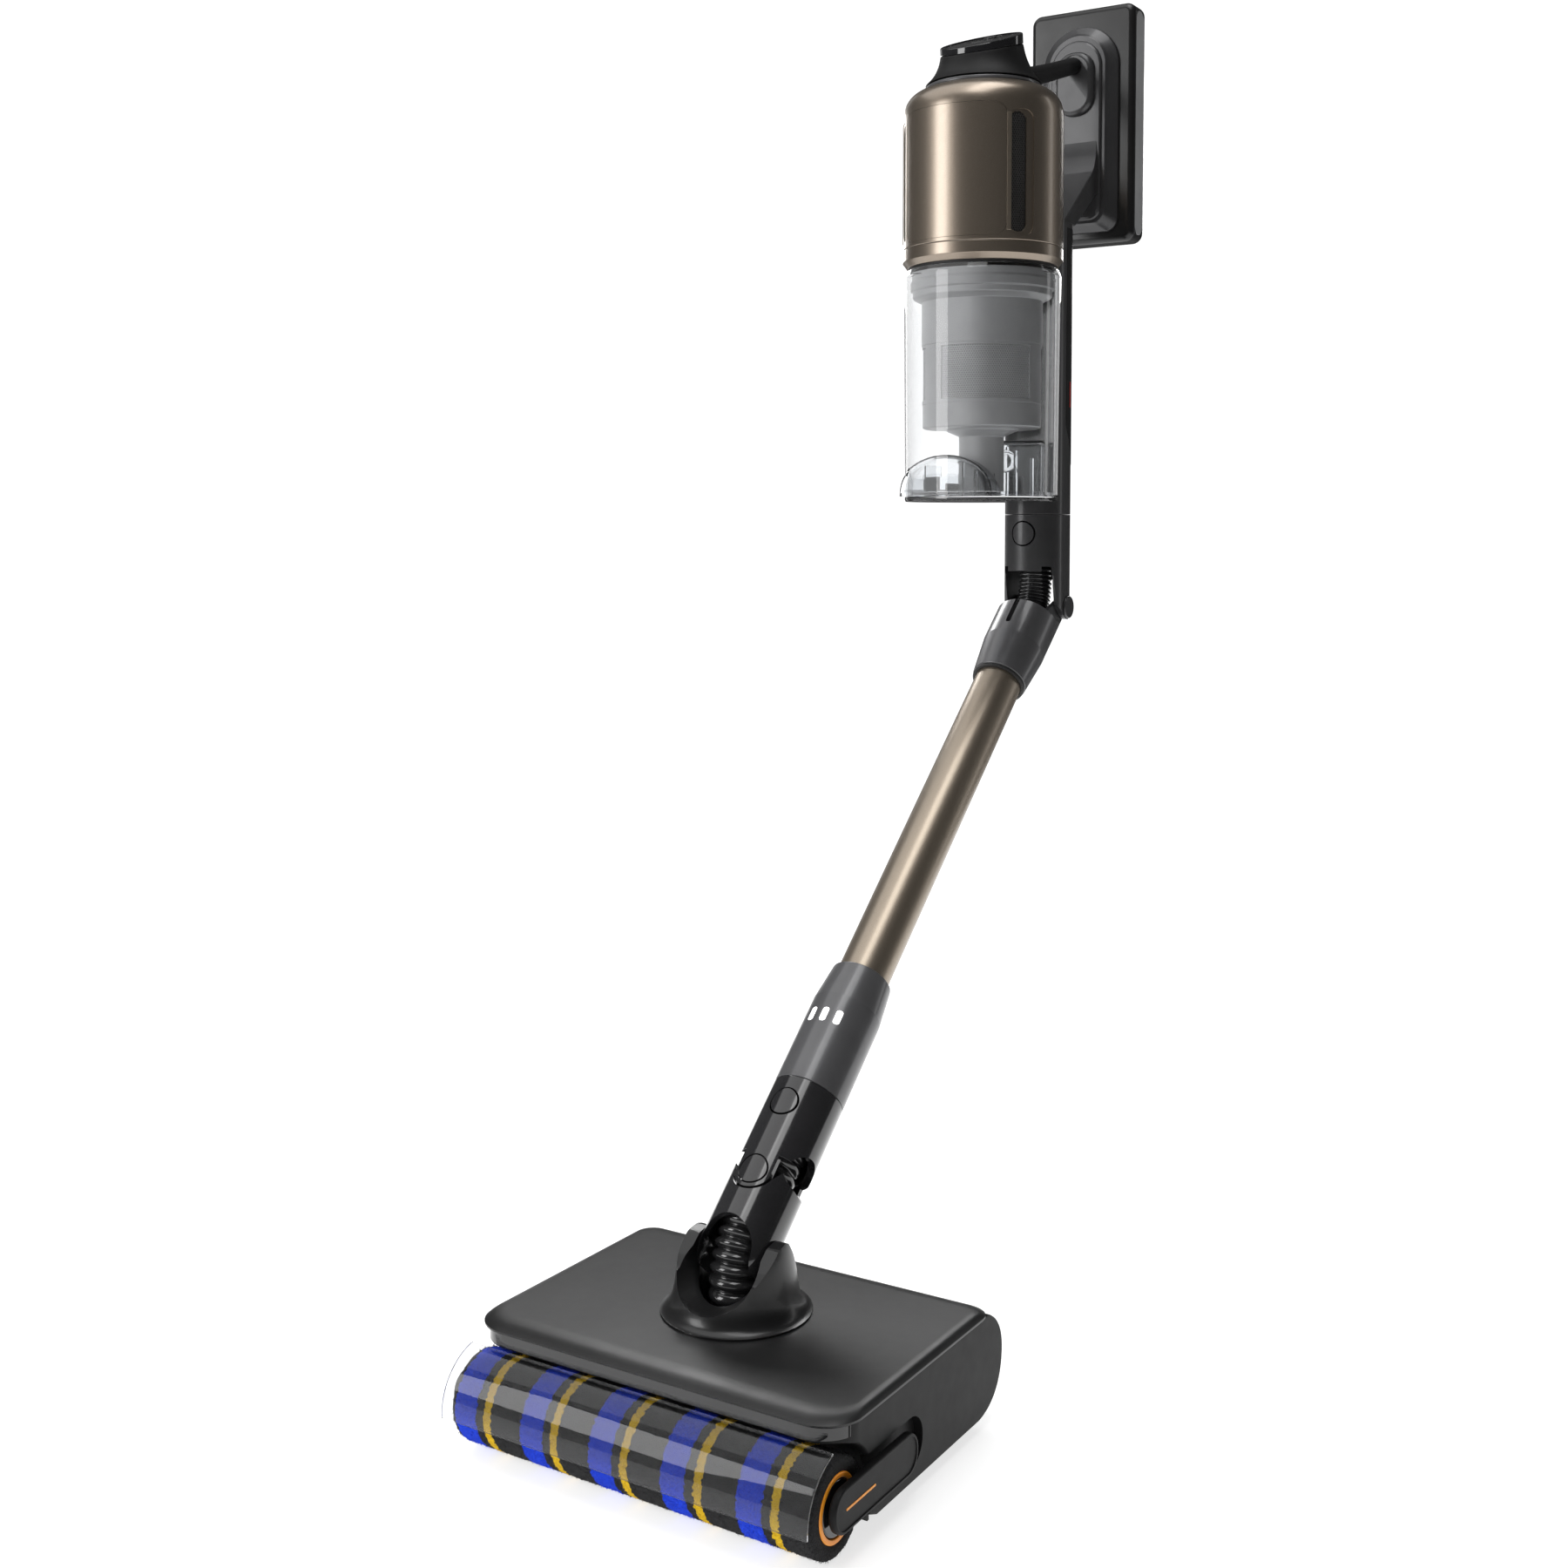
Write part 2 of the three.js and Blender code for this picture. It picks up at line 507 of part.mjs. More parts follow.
function buildBellows(group) {
  const neck = bellows([NECK_Y, 74], [NECK_Y, NECK_Z], onWand(STEER_W - 28), 15);
  addPart(group, 'neck_bellows', neck, RUBBER);
  const steer = bellows(onWand(STEER_W - 27), onWand(STEER_W), onWand(STEER_W + 30), 11.2, 4);
  addPart(group, 'steer_bellows', steer, RUBBER);
  const foldTop = FOLD_Y + GRIP_FRONT_Y + 1.5;
  const fold = bellows(onWand(COLLAR_EDGE_W + 12), [foldTop, FOLD_Z + 2], [foldTop, FOLD_Z + 46], 15);
  addPart(group, 'fold_bellows', fold, RUBBER);
}

// ---------------------------------------------------------------- handheld unit
function buildUpperConnector(group) {
  const outline = capsule(GRIP_R, GRIP_FRONT_Y, GRIP_REAR_Y);
  const bore = capsule(GRIP_R - 4, GRIP_FRONT_Y, GRIP_REAR_Y);
  const shell = cut(prism(outline, SEAM_Z + 12, 0, 8).translate(0, 0, -12),
    prism(bore, SEAM_Z + 40, 0, 8).translate(0, 0, -30));
  // The lower part keeps only two side walls that end in round lugs at the pivot.
  const keep = new THREE.Shape();
  keep.moveTo(-60, 100);
  keep.lineTo(-60, ARCH_TOP + 4);
  keep.lineTo(-30, ARCH_TOP);
  keep.quadraticCurveTo(-22, ARCH_TOP - 1, -21, ARCH_TOP - 12);
  keep.lineTo(-18, 2);
  keep.lineTo(-8, -7);
  keep.absarc(0, 0, 10, Math.PI * 1.25, Math.PI * 1.88, false);
  keep.lineTo(26, 10);
  keep.lineTo(60, 14);
  keep.lineTo(60, 100);
  const rearMouth = frontProfile(roundedRect(-19.5, 19.5, -30, 22, 8), 4, 60);
  const buttonHole = alongY(rod(10.5, -60, -20, 16)).translate(0, 0, HANDHELD_BUTTON_Z);
  const pinHole = alongX(rod(5.3, -40, 40, SMALL));
  const earRoom = block(-20.6, 20.6, -30, 13, -20, 34);
  const body = cut(common(shell, sideProfile(keep, 40)), earRoom, rearMouth, buttonHole, pinHole);
  addPart(group, 'upper_connector', body, GUNMETAL);

  const button = common(
    alongY(rod(10, -60, GRIP_FRONT_Y - 20, 16)).translate(0, 0, HANDHELD_BUTTON_Z),
    prism(capsule(GRIP_R + 0.5, GRIP_FRONT_Y, GRIP_REAR_Y), 120, 0, 12),
  );
  addPart(group, 'handheld_release_button', button, GUNMETAL);
  for (const [side, name] of [[1, 'fold_pin_right'], [-1, 'fold_pin_left']]) {
    const pin = alongX(join(rod(5, 15.5, 26, SMALL), rod(9.2, GRIP_R + GAP, 27, 16)));
    if (side < 0) pin.rotateZ(Math.PI);
    addPart(group, name, pin, GUNMETAL);
  }
}

function buildSpine(group) {
  const low = SEAM_Z + GAP;
  const coverLow = 118;
  const coverHigh = SPINE_TOP - 6;
  let spine = prism(capsule(GRIP_R, GRIP_FRONT_Y, GRIP_REAR_Y), SPINE_TOP - low, 0, 8).translate(0, 0, low);
  const bore = prism(capsule(GRIP_R - 4, GRIP_FRONT_Y, GRIP_REAR_Y), 196, 0, 8);
  spine = cut(spine, bore.translate(0, 0, low - 10));
  const flush = prism(capsule(GRIP_R + 8, GRIP_FRONT_Y, GRIP_REAR_Y), coverHigh - coverLow, 0, 8);
  const inner = prism(capsule(GRIP_R - 2.3, GRIP_FRONT_Y, GRIP_REAR_Y), coverHigh - coverLow + 2, 0, 8);
  const rearHalf = block(-60, 60, -6, 60, coverLow, coverHigh);
  const recess = common(cut(flush, inner.translate(0, 0, -1)).translate(0, 0, coverLow), rearHalf);
  spine = cut(spine, recess);
  const inletHole = block(-13, 13, -60, -20, 112, 142);
  const barrelReach = BARREL_BOTTOM + 26;
  const bridge = cut(block(-20, 20, -52, GRIP_FRONT_Y - 15, barrelReach, SPINE_TOP - 2),
    rod(BARREL_R + 0.6, 0, 500, 64).translate(0, BIN_Y, 0));
  spine = join(cut(spine, inletHole), bridge);
  addPart(group, 'spine_duct', spine, GUNMETAL);

  const coverShell = cut(
    prism(capsule(GRIP_R, GRIP_FRONT_Y, GRIP_REAR_Y), coverHigh - coverLow - 2 * GAP, 0, 8),
    prism(capsule(GRIP_R - 2, GRIP_FRONT_Y, GRIP_REAR_Y), 400, 0, 8).translate(0, 0, -50),
  ).translate(0, 0, coverLow + GAP);
  addPart(group, 'spine_cover', common(coverShell, block(-60, 60, -6 + GAP, 60, 0, 500)), MATTE_BLACK);

  const inlet = cut(frontProfile(roundedRect(-12.5, 12.5, 112.5, 141.5, 4), -50.8, -31.5),
    frontProfile(roundedRect(-10, 10, 115, 139, 3), -80, 0));
  addPart(group, 'bin_inlet_duct', inlet, MATTE_BLACK);
}

function buildBin(group) {
  const cup = lathe([
    [BIN_R - 3, BIN_BOTTOM + 4.3], [BIN_R - 0.5, BIN_BOTTOM + 4.3],
    [BIN_R + 0.8, BIN_TOP - 4], [BIN_R - 0.5, BIN_TOP],
    [BIN_R - 2.6, BIN_TOP], [BIN_R - 1.8, BIN_TOP - 4.5], [BIN_R - 3, BIN_BOTTOM + 4.3],
  ], WIDE).translate(0, BIN_Y, 0);
  const port = block(-14, 14, BIN_Y + 20, BIN_Y + 80, 111, 143);
  addPart(group, 'dust_bin', cut(cup, port), CLEAR);

  const lid = lathe([
    [0, BIN_BOTTOM], [BIN_R - 1, BIN_BOTTOM], [BIN_R - 0.4, BIN_BOTTOM + 1.2], [BIN_R - 0.4, BIN_BOTTOM + 4],
    [BIN_R - 3.6, BIN_BOTTOM + 4], [BIN_R - 3.6, BIN_BOTTOM + 7],
    [BIN_R - 6, BIN_BOTTOM + 7], [BIN_R - 6, BIN_BOTTOM + 3],
    [0, BIN_BOTTOM + 3],
  ], WIDE).translate(0, BIN_Y, 0);
  addPart(group, 'bin_lid', lid, SMOKE);
  const latch = frontProfile(roundedRect(-8, 8, BIN_BOTTOM + 5, BIN_BOTTOM + 22, 3), -50.3, -47.6);
  addPart(group, 'bin_lid_latch', latch, GUNMETAL);
}

function buildCyclone(group) {
  const y = BIN_Y;
  const shroud = lathe([
    [44.9, 206], [46.9, 206], [46.9, 238], [54.5, 243], [54.5, 250],
    [56, 250], [56, 262], [50, 262], [50, 256],
    [30, 256], [30, 252], [44.9, 240], [44.9, 206],
  ], WIDE);
  addPart(group, 'cyclone_shroud', shroud.translate(0, y, 0), CYCLONE_GREY);
  const mesh = ring(45.7, 44.6, 162, 205.7, WIDE);
  addPart(group, 'cyclone_mesh', mesh.translate(0, y, 0), STEEL);
  const cone = lathe([
    [44.3, 161.7], [44.3, 146], [26, 144], [15.5, 138], [15.5, 93.6], [17.5, 93.6], [17.5, 136.8], [28, 142],
    [45.7, 143], [45.7, 161.7], [44.3, 161.7],
  ], WIDE);
  addPart(group, 'cyclone_cone', cone.translate(0, y, 0), CYCLONE_GREY);
  const filter = ring(29.5, 12, 176, 251, SIDES);
  addPart(group, 'pre_filter', filter.translate(0, y, 0), finish(0xe8e6e0, 0.95, 0));
}

function buildBarrel(group) {
  const y = BIN_Y;
  const wall = 2.4;
  const bevelTop = BARREL_BOTTOM + 13.5;
  const bevel = lathe([
    [BARREL_R - 5, BARREL_BOTTOM], [BARREL_R - 2.8, BARREL_BOTTOM],
    [BARREL_R, BARREL_BOTTOM + 3], [BARREL_R, bevelTop],
    [BARREL_R - wall, bevelTop], [BARREL_R - 5, BARREL_BOTTOM + 3], [BARREL_R - 5, BARREL_BOTTOM],
  ], WIDE);
  addPart(group, 'bin_ring', bevel.translate(0, y, 0), BRONZE);

  const low = bevelTop + GAP;
  const shell = lathe([
    [BARREL_R - wall, low], [BARREL_R, low], [BARREL_R, BARREL_EDGE], [BARREL_R - 1.6, BARREL_EDGE + 7],
    [BARREL_R - 6, BARREL_EDGE + 13.5], [BARREL_R - 12, BARREL_EDGE + 18], [BARREL_R - 17, BARREL_TOP],
    [BARREL_R - 20, BARREL_TOP], [BARREL_R - 14, BARREL_EDGE + 14], [BARREL_R - wall, BARREL_EDGE - 2],
    [BARREL_R - wall, low],
  ], WIDE);
  const panelLow = low + 3;
  const panelHigh = BARREL_EDGE - 1;
  const recess = common(
    ring(BARREL_R + 5, BARREL_R - 1.3, low, 400, WIDE),
    frontProfile(roundedRect(-PANEL_HALF_WIDTH, PANEL_HALF_WIDTH, panelLow, panelHigh, 9), -90, -20),
  );
  const grilleShape = roundedRect(-8.2, 8.2, low + 6, BARREL_EDGE - 8, 7.8);
  const vents = [-1, 1].map((side) => (
    frontProfile(grilleShape, -90, -40).rotateZ(side * THREE.MathUtils.degToRad(56))
  ));
  const rearSlots = [0, 1, 2, 3, 4].map((i) => block(-16, 16, 40, 90, low + 46 + i * 9, low + 50 + i * 9));
  addPart(group, 'motor_barrel', cut(shell, recess, ...vents, ...rearSlots).translate(0, y, 0), BRONZE);

  const inset = 0.35;
  const panel = common(
    ring(BARREL_R, BARREL_R - 1, low, 400, WIDE),
    frontProfile(roundedRect(-PANEL_HALF_WIDTH + inset, PANEL_HALF_WIDTH - inset, panelLow + inset,
      panelHigh - inset, 8.6), -90, -20),
  );
  addPart(group, 'barrel_front_panel', panel.translate(0, y, 0), BRONZE);

  for (const [side, name] of [[1, 'vent_grille_right'], [-1, 'vent_grille_left']]) {
    const shape = roundedRect(-7.9, 7.9, low + 6.3, BARREL_EDGE - 8.3, 7.5);
    const grille = common(
      ring(BARREL_R - 1.2, BARREL_R - 2.4, low, 400, WIDE),
      frontProfile(shape, -90, -40).rotateZ(side * THREE.MathUtils.degToRad(56)),
    );
    addPart(group, name, grille.translate(0, y, 0), MATTE_BLACK);
  }

  const trim = lathe([
    [38, BARREL_TOP + GAP], [45.5, BARREL_TOP + GAP], [45, BARREL_TOP + 3],
    [38, BARREL_TOP + 4], [38, BARREL_TOP + GAP],
  ], WIDE);
  addPart(group, 'barrel_trim_ring', trim.translate(0, y, 0), STEEL);

  const can = join(rod(34, 300, 352, 16), ring(50, 33, 330, 334));
  addPart(group, 'suction_motor', can.translate(0, y, 0), STEEL);
  const impeller = join(rod(8, 284, 299.5, 16), rod(30, 284, 287, WIDE),
    ...[0, 1, 2, 3, 4, 5, 6].map((i) => block(4, 29, -0.9, 0.9, 286, 296).rotateZ((i * 2 * Math.PI) / 7)));
  addPart(group, 'impeller', impeller.translate(0, y, 0), STEEL);
  const hepa = ring(40, 28, 356, 396);
  addPart(group, 'exhaust_filter', hepa.translate(0, y, 0), finish(0xf0eee8, 0.95, 0));
}

// Waisted top that leans from the round barrel to the tilted display disc.
function neckRing(t, radiusAt, sides = WIDE) {
  const radius = radiusAt(t);
  const tilt = NECK_TILT * t;
  const centreZ = THREE.MathUtils.lerp(BARREL_TOP + 4.3, NECK_TOP, t);
  const centreY = BIN_Y - 4 * t;
  return Array.from({ length: sides }, (_, i) => {
    const a = (i * 2 * Math.PI) / sides;
    const x = radius * Math.cos(a);
    const y = radius * Math.sin(a);
    return new THREE.Vector3(x, centreY + y * Math.cos(tilt), centreZ + y * Math.sin(tilt));
  });
}

function buildTop(group) {
  const waist = (t) => NECK_TOP_R + 13 * (1 - t) ** 2.4;
  const stops = [0, 0.12, 0.26, 0.42, 0.6, 0.78];
  const neck = loft(stops.map((t) => neckRing(t, waist)));
  const barStart = new THREE.Vector3(0, BIN_Y + 26, 416);
  const barEnd = new THREE.Vector3(0, COLUMN_Y - 6.5, 458.5);
  const barCurve = new THREE.QuadraticBezierCurve3(barStart, new THREE.Vector3(0, BIN_Y + 70, 424), barEnd);
  const barRing = (t, sides = 16) => {
    const middle = barCurve.getPoint(t);
    const along = barCurve.getTangent(t);
    const up = new THREE.Vector3(0, -along.z, along.y);
    const radius = THREE.MathUtils.lerp(17, 7.4, Math.min(1, t * 2.4) ** 0.5);
    return Array.from({ length: sides }, (_, i) => {
      const a = (i * 2 * Math.PI) / sides;
      const across = new THREE.Vector3(-radius * Math.cos(a), 0, 0);
      return middle.clone().add(across).addScaledVector(up, radius * Math.sin(a));
    });
  };
  const bar = loft([0, 0.08, 0.16, 0.25, 0.35, 0.5, 0.75, 1].map((t) => barRing(t)));
  const below = block(-100, 100, -250, 50, 300, BARREL_TOP + 4.3);
  addPart(group, 'top_neck', cut(join(neck, bar), below), MATTE_BLACK);

  const swell = [0, 0.2, 0.2, -0.8];
  const bezelRings = [0.79, 0.83, 0.985, 1].map((t, i) => neckRing(t, () => NECK_TOP_R + swell[i]));
  const tilted = (geometry) => geometry.rotateX(NECK_TILT).translate(0, BIN_Y - 4, NECK_TOP);
  const buttonHole = rod(5.5, -10, 5, 16).translate(0, 17, 0);
  const bezel = cut(loft(bezelRings), tilted(rod(26, -2.2, 5)), tilted(buttonHole));
  addPart(group, 'display_bezel', bezel, GLOSS_BLACK);
  addPart(group, 'power_button', tilted(rod(5.2, -4.6, 0.4, 16).translate(0, 17, 0)), GLOSS_BLACK);
}

// Arched outline of the battery dock in (x, z).
function dockOutline(half, low, high, sides = 10) {
  const points = [];
  for (let i = 0; i <= sides; i += 1) {
    const a = (i * Math.PI) / sides;
    points.push([half * Math.cos(a), high - half + half * Math.sin(a)]);
  }
  const corner = Math.min(half, 10);
  for (let i = 0; i <= 4; i += 1) {
    const a = Math.PI + (i * Math.PI) / 8;
    points.push([-half + corner + corner * Math.cos(a), low + corner + corner * Math.sin(a)]);
  }
  for (let i = 0; i <= 4; i += 1) {
    const a = 1.5 * Math.PI + (i * Math.PI) / 8;
    points.push([half - corner + corner * Math.cos(a), low + corner + corner * Math.sin(a)]);
  }
  return points;
}

function buildHandle(group) {
  const back = BATTERY_FRONT - GAP;
  const levels = [
    [back, 34.7, 319, 494], [back - 5, 31.5, 321, 491], [back - 9, 27, 324, 487],
    [back - 11, 24.5, 327, 484.5], [COLUMN_Y, 22.5, 330, 482],
  ];
  const dock = loft(levels.map(([y, half, low, high]) => (
    dockOutline(half, low, high).map(([x, z]) => new THREE.Vector3(x, y, z))
  )));
  const strut = new THREE.Shape();
  strut.moveTo(COLUMN_Y + 0.5, 392);
  strut.quadraticCurveTo(COLUMN_Y - 1, 374, COLUMN_Y - 9, 366.5);
  strut.lineTo(GRIP_REAR_Y - 2, SPINE_TOP + GAP + 1.5);
  strut.lineTo(GRIP_REAR_Y - 2, SPINE_TOP + GAP);
  strut.lineTo(GRIP_REAR_Y + 22, SPINE_TOP + GAP);
  strut.lineTo(back - 4, 356);
  strut.lineTo(back - 4, 392);
  const arm = sideProfile(strut, 20.5, 0, 6);
  const palm = frontProfile(roundedRect(-17.5, 17.5, 416.5, 470.5, 16.5), COLUMN_Y - 5.5, COLUMN_Y + 4, 3.5);
  const barSocket = cut(join(dock, arm, palm), alongY(rod(8.2, 30, COLUMN_Y - 3, 16)).translate(0, 0, 458.6));
  addPart(group, 'handle_frame', barSocket, GUNMETAL);
}

function buildBattery(group) {
  const outline = roundedRect(-BATTERY_HALF, BATTERY_HALF, BATTERY_LOW, BATTERY_HIGH, 9);
  const plateFront = BATTERY_BACK - 4;
  const block0 = frontProfile(outline, BATTERY_FRONT, BATTERY_BACK, 4, 3);
  const room = roundedRect(-BATTERY_HALF + 5, BATTERY_HALF - 5, BATTERY_LOW + 5, BATTERY_HIGH - 5, 5);
  const pocket = frontProfile(room, BATTERY_FRONT + 3, BATTERY_BACK + 5);
  const inlayCut = (side, grow, depth) => {
    const [front, back] = [BATTERY_FRONT + 5 - grow, BATTERY_BACK - 5 + grow];
    const plan = roundedRect(front, back, BATTERY_LOW + 6 - grow, BATTERY_HIGH - 6 + grow, 8.4);
    return sideProfile(plan, depth).translate(side * BATTERY_HALF, 0, 0);
  };
  const [below, above] = [BATTERY_LOW - 5, BATTERY_HIGH + 5];
  const lip = block(-60, 60, plateFront - GAP, BATTERY_BACK + 5, below, above);
  const shell = cut(block0, pocket, inlayCut(1, 0.3, 1.4), inlayCut(-1, 0.3, 1.4), lip);
  addPart(group, 'battery_case', shell, GLOSS_BLACK);
  const plate = common(block0, block(-60, 60, plateFront, BATTERY_BACK + 5, below, above));
  const cap = cut(plate, inlayCut(1, 0.3, 1.4), inlayCut(-1, 0.3, 1.4));
  addPart(group, 'battery_back', cap, MATTE_BLACK);
  addPart(group, 'battery_inlay', inlayCut(1, 0, 0.5).translate(-0.6, 0, 0), LIGHT_GREY);
  const cellZ = (i) => BATTERY_LOW + 18 + i * 23.2;
  const rows = [0, 1, 2, 3, 4, 5, 6, 7];
  const middleY = (BATTERY_FRONT + 3 + plateFront) / 2;
  const cells = rows.map((i) => alongX(rod(8.9, -36, 36, 12)).translate(0, middleY, cellZ(i)));
  const straps = [-1, 1].map((side) => (
    block(side * 36 - 0.6, side * 36 + 0.6, middleY - 4, middleY + 4, cellZ(0) - 5, cellZ(7) + 5)
  ));
  addPart(group, 'battery_cells', join(...cells, ...straps), COPPER);
}

// ---------------------------------------------------------------- assembly
const vacuum = new THREE.Group();
vacuum.position.y = -ORIGIN_Y;

const head = new THREE.Group();
vacuum.add(head);
buildHeadShell(head);
buildRoller(head);
buildShield(head);
buildLatch(head);
buildDuct(head);
buildScraper(head);
buildWheels(head);
buildYoke(head);
buildBellows(head);

const wand = new THREE.Group();
wand.position.set(0, NECK_Y, NECK_Z);
wand.rotation.x = -LEAN;
vacuum.add(wand);
buildSleeve(wand);
buildConnector(wand);
buildWandBody(wand);
buildCollar(wand);

const handheld = new THREE.Group();
handheld.position.set(0, FOLD_Y, FOLD_Z);
vacuum.add(handheld);
buildUpperConnector(handheld);
buildSpine(handheld);
buildBin(handheld);
buildCyclone(handheld);
buildBarrel(handheld);
buildTop(handheld);
buildHandle(handheld);
buildBattery(handheld);

export default vacuum;
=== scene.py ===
"""Cordless stick vacuum: the finished surfaces, materials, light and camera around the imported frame."""
import json
import math

import bmesh
import bpy
import numpy as np
from mathutils import Matrix, Vector


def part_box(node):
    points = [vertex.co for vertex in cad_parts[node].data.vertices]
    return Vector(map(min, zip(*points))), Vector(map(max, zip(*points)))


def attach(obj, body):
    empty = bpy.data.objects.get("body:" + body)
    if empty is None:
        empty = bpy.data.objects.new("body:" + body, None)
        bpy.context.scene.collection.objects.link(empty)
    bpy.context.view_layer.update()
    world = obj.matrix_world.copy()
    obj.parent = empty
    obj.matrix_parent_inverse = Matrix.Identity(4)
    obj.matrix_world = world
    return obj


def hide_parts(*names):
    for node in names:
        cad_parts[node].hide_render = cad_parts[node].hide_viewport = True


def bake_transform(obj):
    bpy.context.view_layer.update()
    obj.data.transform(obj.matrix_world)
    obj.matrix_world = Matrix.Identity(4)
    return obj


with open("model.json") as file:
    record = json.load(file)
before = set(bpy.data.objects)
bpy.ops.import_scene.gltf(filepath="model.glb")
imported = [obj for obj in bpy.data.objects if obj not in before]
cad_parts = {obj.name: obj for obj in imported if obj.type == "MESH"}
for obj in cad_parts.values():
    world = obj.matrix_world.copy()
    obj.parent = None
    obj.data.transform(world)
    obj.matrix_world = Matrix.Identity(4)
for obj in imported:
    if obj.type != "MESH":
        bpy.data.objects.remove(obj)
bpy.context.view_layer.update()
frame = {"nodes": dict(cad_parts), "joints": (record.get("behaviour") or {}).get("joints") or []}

# ---------------------------------------------------------------- frames and driving dimensions
# Shapes are drawn in millimetres in three local frames: the floor head's (origin under the roller's axis),
# the wand's (origin at the neck pivot, z along the wand) and the handheld unit's (origin at the fold pivot).
# A name that ends in _W is a distance along the wand.
joints = {joint["name"]: joint for joint in frame["joints"]}
MM = Matrix.Scale(0.001, 4)
NECK = Vector(joints["neck_pitch"]["pos_m"])
FOLD = Vector(joints["wand_fold"]["pos_m"])
ROLLER = Vector(joints["roller_spin"]["pos_m"])
ALONG = Vector(joints["wand_extend"]["axis"])
LEAN = math.atan2(ALONG.y, ALONG.z)
HEAD = Matrix.Translation((0, ROLLER.y, 0)) @ MM
WAND = Matrix.Translation(NECK) @ Matrix.Rotation(-LEAN, 4, "X") @ MM
HAND = Matrix.Translation(FOLD) @ MM
PLACES = {None: HEAD, "floor_head": HEAD, "roller": HEAD, "roller_latch": HEAD, "wheel_right": HEAD,
          "wheel_left": HEAD, "neck": WAND, "lower_wand": WAND, "upper_wand": WAND, "head_button": WAND,
          "extension_button": WAND}   # every other body is in the handheld unit's frame
SIDES = ((1, "right"), (-1, "left"))


def span(node, place=HEAD):
    """A node's lowest and highest corners in a local frame that isn't turned, in mm."""
    low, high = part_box(node)
    back = place.inverted()
    return back @ low, back @ high


def half_width(node):
    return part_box(node)[1].x * 1000


ROLLER_R = ROLLER.z * 1000
ROLLER_HALF = half_width("roller_pile")
PILE_REPEATS = 5
HEAD_HALF = half_width("head_base")
COVER_TOP = span("head_cover")[1].z
CREASE = span("head_base")[1].z
BASE_LOW = span("head_base")[0].z
HEAD_REAR = 207
BAY_R = ROLLER_R + 4.7
SHIELD_R = ROLLER_R + 6
WHEEL_X, WHEEL_Y, WHEEL_R = 88, 176, 14
NECK_Y = (NECK.y - ROLLER.y) * 1000
NECK_Z = NECK.z * 1000
LINK_R = half_width("head_connector")
LINK_BORE = LINK_R - 4
TUBE_R = half_width("bronze_tube")
MOUTH_R = half_width("collar_seal") + 0.6
STEER_W = (Vector(joints["neck_steer"]["pos_m"]) - NECK).length * 1000
STEER_SWING = math.radians(25)
JOIN_W = STEER_W + 14
TONGUE_R = 13.6
TONGUE_FLAT = 17.9
HEAD_BUTTON_W = 98
SEAM_W = 117.5
LED_W = 168
BODY_EDGE_W = 186
BODY_TOP_W = 215
MOUTH_W = 510
COLLAR_EDGE_W = 545
LENGTH_BUTTON_W = 562
COLLAR_RIM_W = 579
FOLD_W = 606
FOLD_BACK = 9
GRIP_R = half_width("upper_connector")
GRIP_FRONT = -10
GRIP_REAR = -1
HAND_BUTTON_Z = 61
SPINE_LOW = 76.5
SPINE_TOP = span("spine_duct", HAND)[1].z
BIN_Y = (span("dust_bin", HAND)[0].y + span("dust_bin", HAND)[1].y) / 2
BIN_R = half_width("bin_lid") + 0.4
BIN_LOW = span("bin_lid", HAND)[0].z
BIN_TOP = span("dust_bin", HAND)[1].z
MESH_LOW, MESH_HIGH, MESH_R = 163, 205, 45.7
BARREL_R = half_width("motor_barrel")
BARREL_LOW = span("bin_ring", HAND)[0].z
BARREL_EDGE = 383
BARREL_TOP = span("motor_barrel", HAND)[1].z
BARREL_WALL = 2.4
PANEL_HALF = 42.3
VENT_TURN = 51.5
VENT_HALF = 6.9
STRIP_TURN = 44.6
DISC_Z = 441
DISC_R = 31.8
DISC_TILT = math.radians(21)
BAR_Z = 458.8
COLUMN_Y = 65.5
SLAB_FRONT, SLAB_BACK = span("battery_case", HAND)[0].y, span("battery_back", HAND)[1].y
SLAB_LOW, SLAB_HIGH = span("battery_case", HAND)[0].z, span("battery_case", HAND)[1].z
SLAB_HALF = half_width("battery_case")


# ---------------------------------------------------------------- outlines
def rounded(points, radius, steps=5):
    """A closed outline with each corner turned into an arc. radius is one number, or one for each corner."""
    count = len(points)
    radii = [radius] * count if np.isscalar(radius) else list(radius)
    out = []
    for i, point in enumerate(points):
        here = np.array(point, float)
        before = np.array(points[i - 1], float) - here
        after = np.array(points[(i + 1) % count], float) - here
        a, b = np.linalg.norm(before), np.linalg.norm(after)
        if radii[i] <= 0 or a < 1e-9 or b < 1e-9:
            out.append(tuple(here))
            continue
        before, after = before / a, after / b
        half = math.acos(max(-1, min(1, float(before @ after)))) / 2
        if half > math.radians(89):
            out.append(tuple(here))
            continue
        reach = min(radii[i] / math.tan(half), 0.48 * a, 0.48 * b)
        r = reach * math.tan(half)
        middle = here + (before + after) / np.linalg.norm(before + after) * (r / math.sin(half))
        start, end = here + before * reach - middle, here + after * reach - middle
        a0 = math.atan2(start[1], start[0])
        turn = math.atan2(end[1], end[0]) - a0
        turn = (turn + math.pi) % (2 * math.pi) - math.pi
        for k in range(steps + 1):
            angle = a0 + turn * k / steps
            out.append((middle[0] + r * math.cos(angle), middle[1] + r * math.sin(angle)))
    return out


def rectangle(x0, x1, y0, y1, radius=0, steps=8):
    corners = [(x0, y0), (x1, y0), (x1, y1), (x0, y1)]
    return rounded(corners, radius, steps) if radius else corners


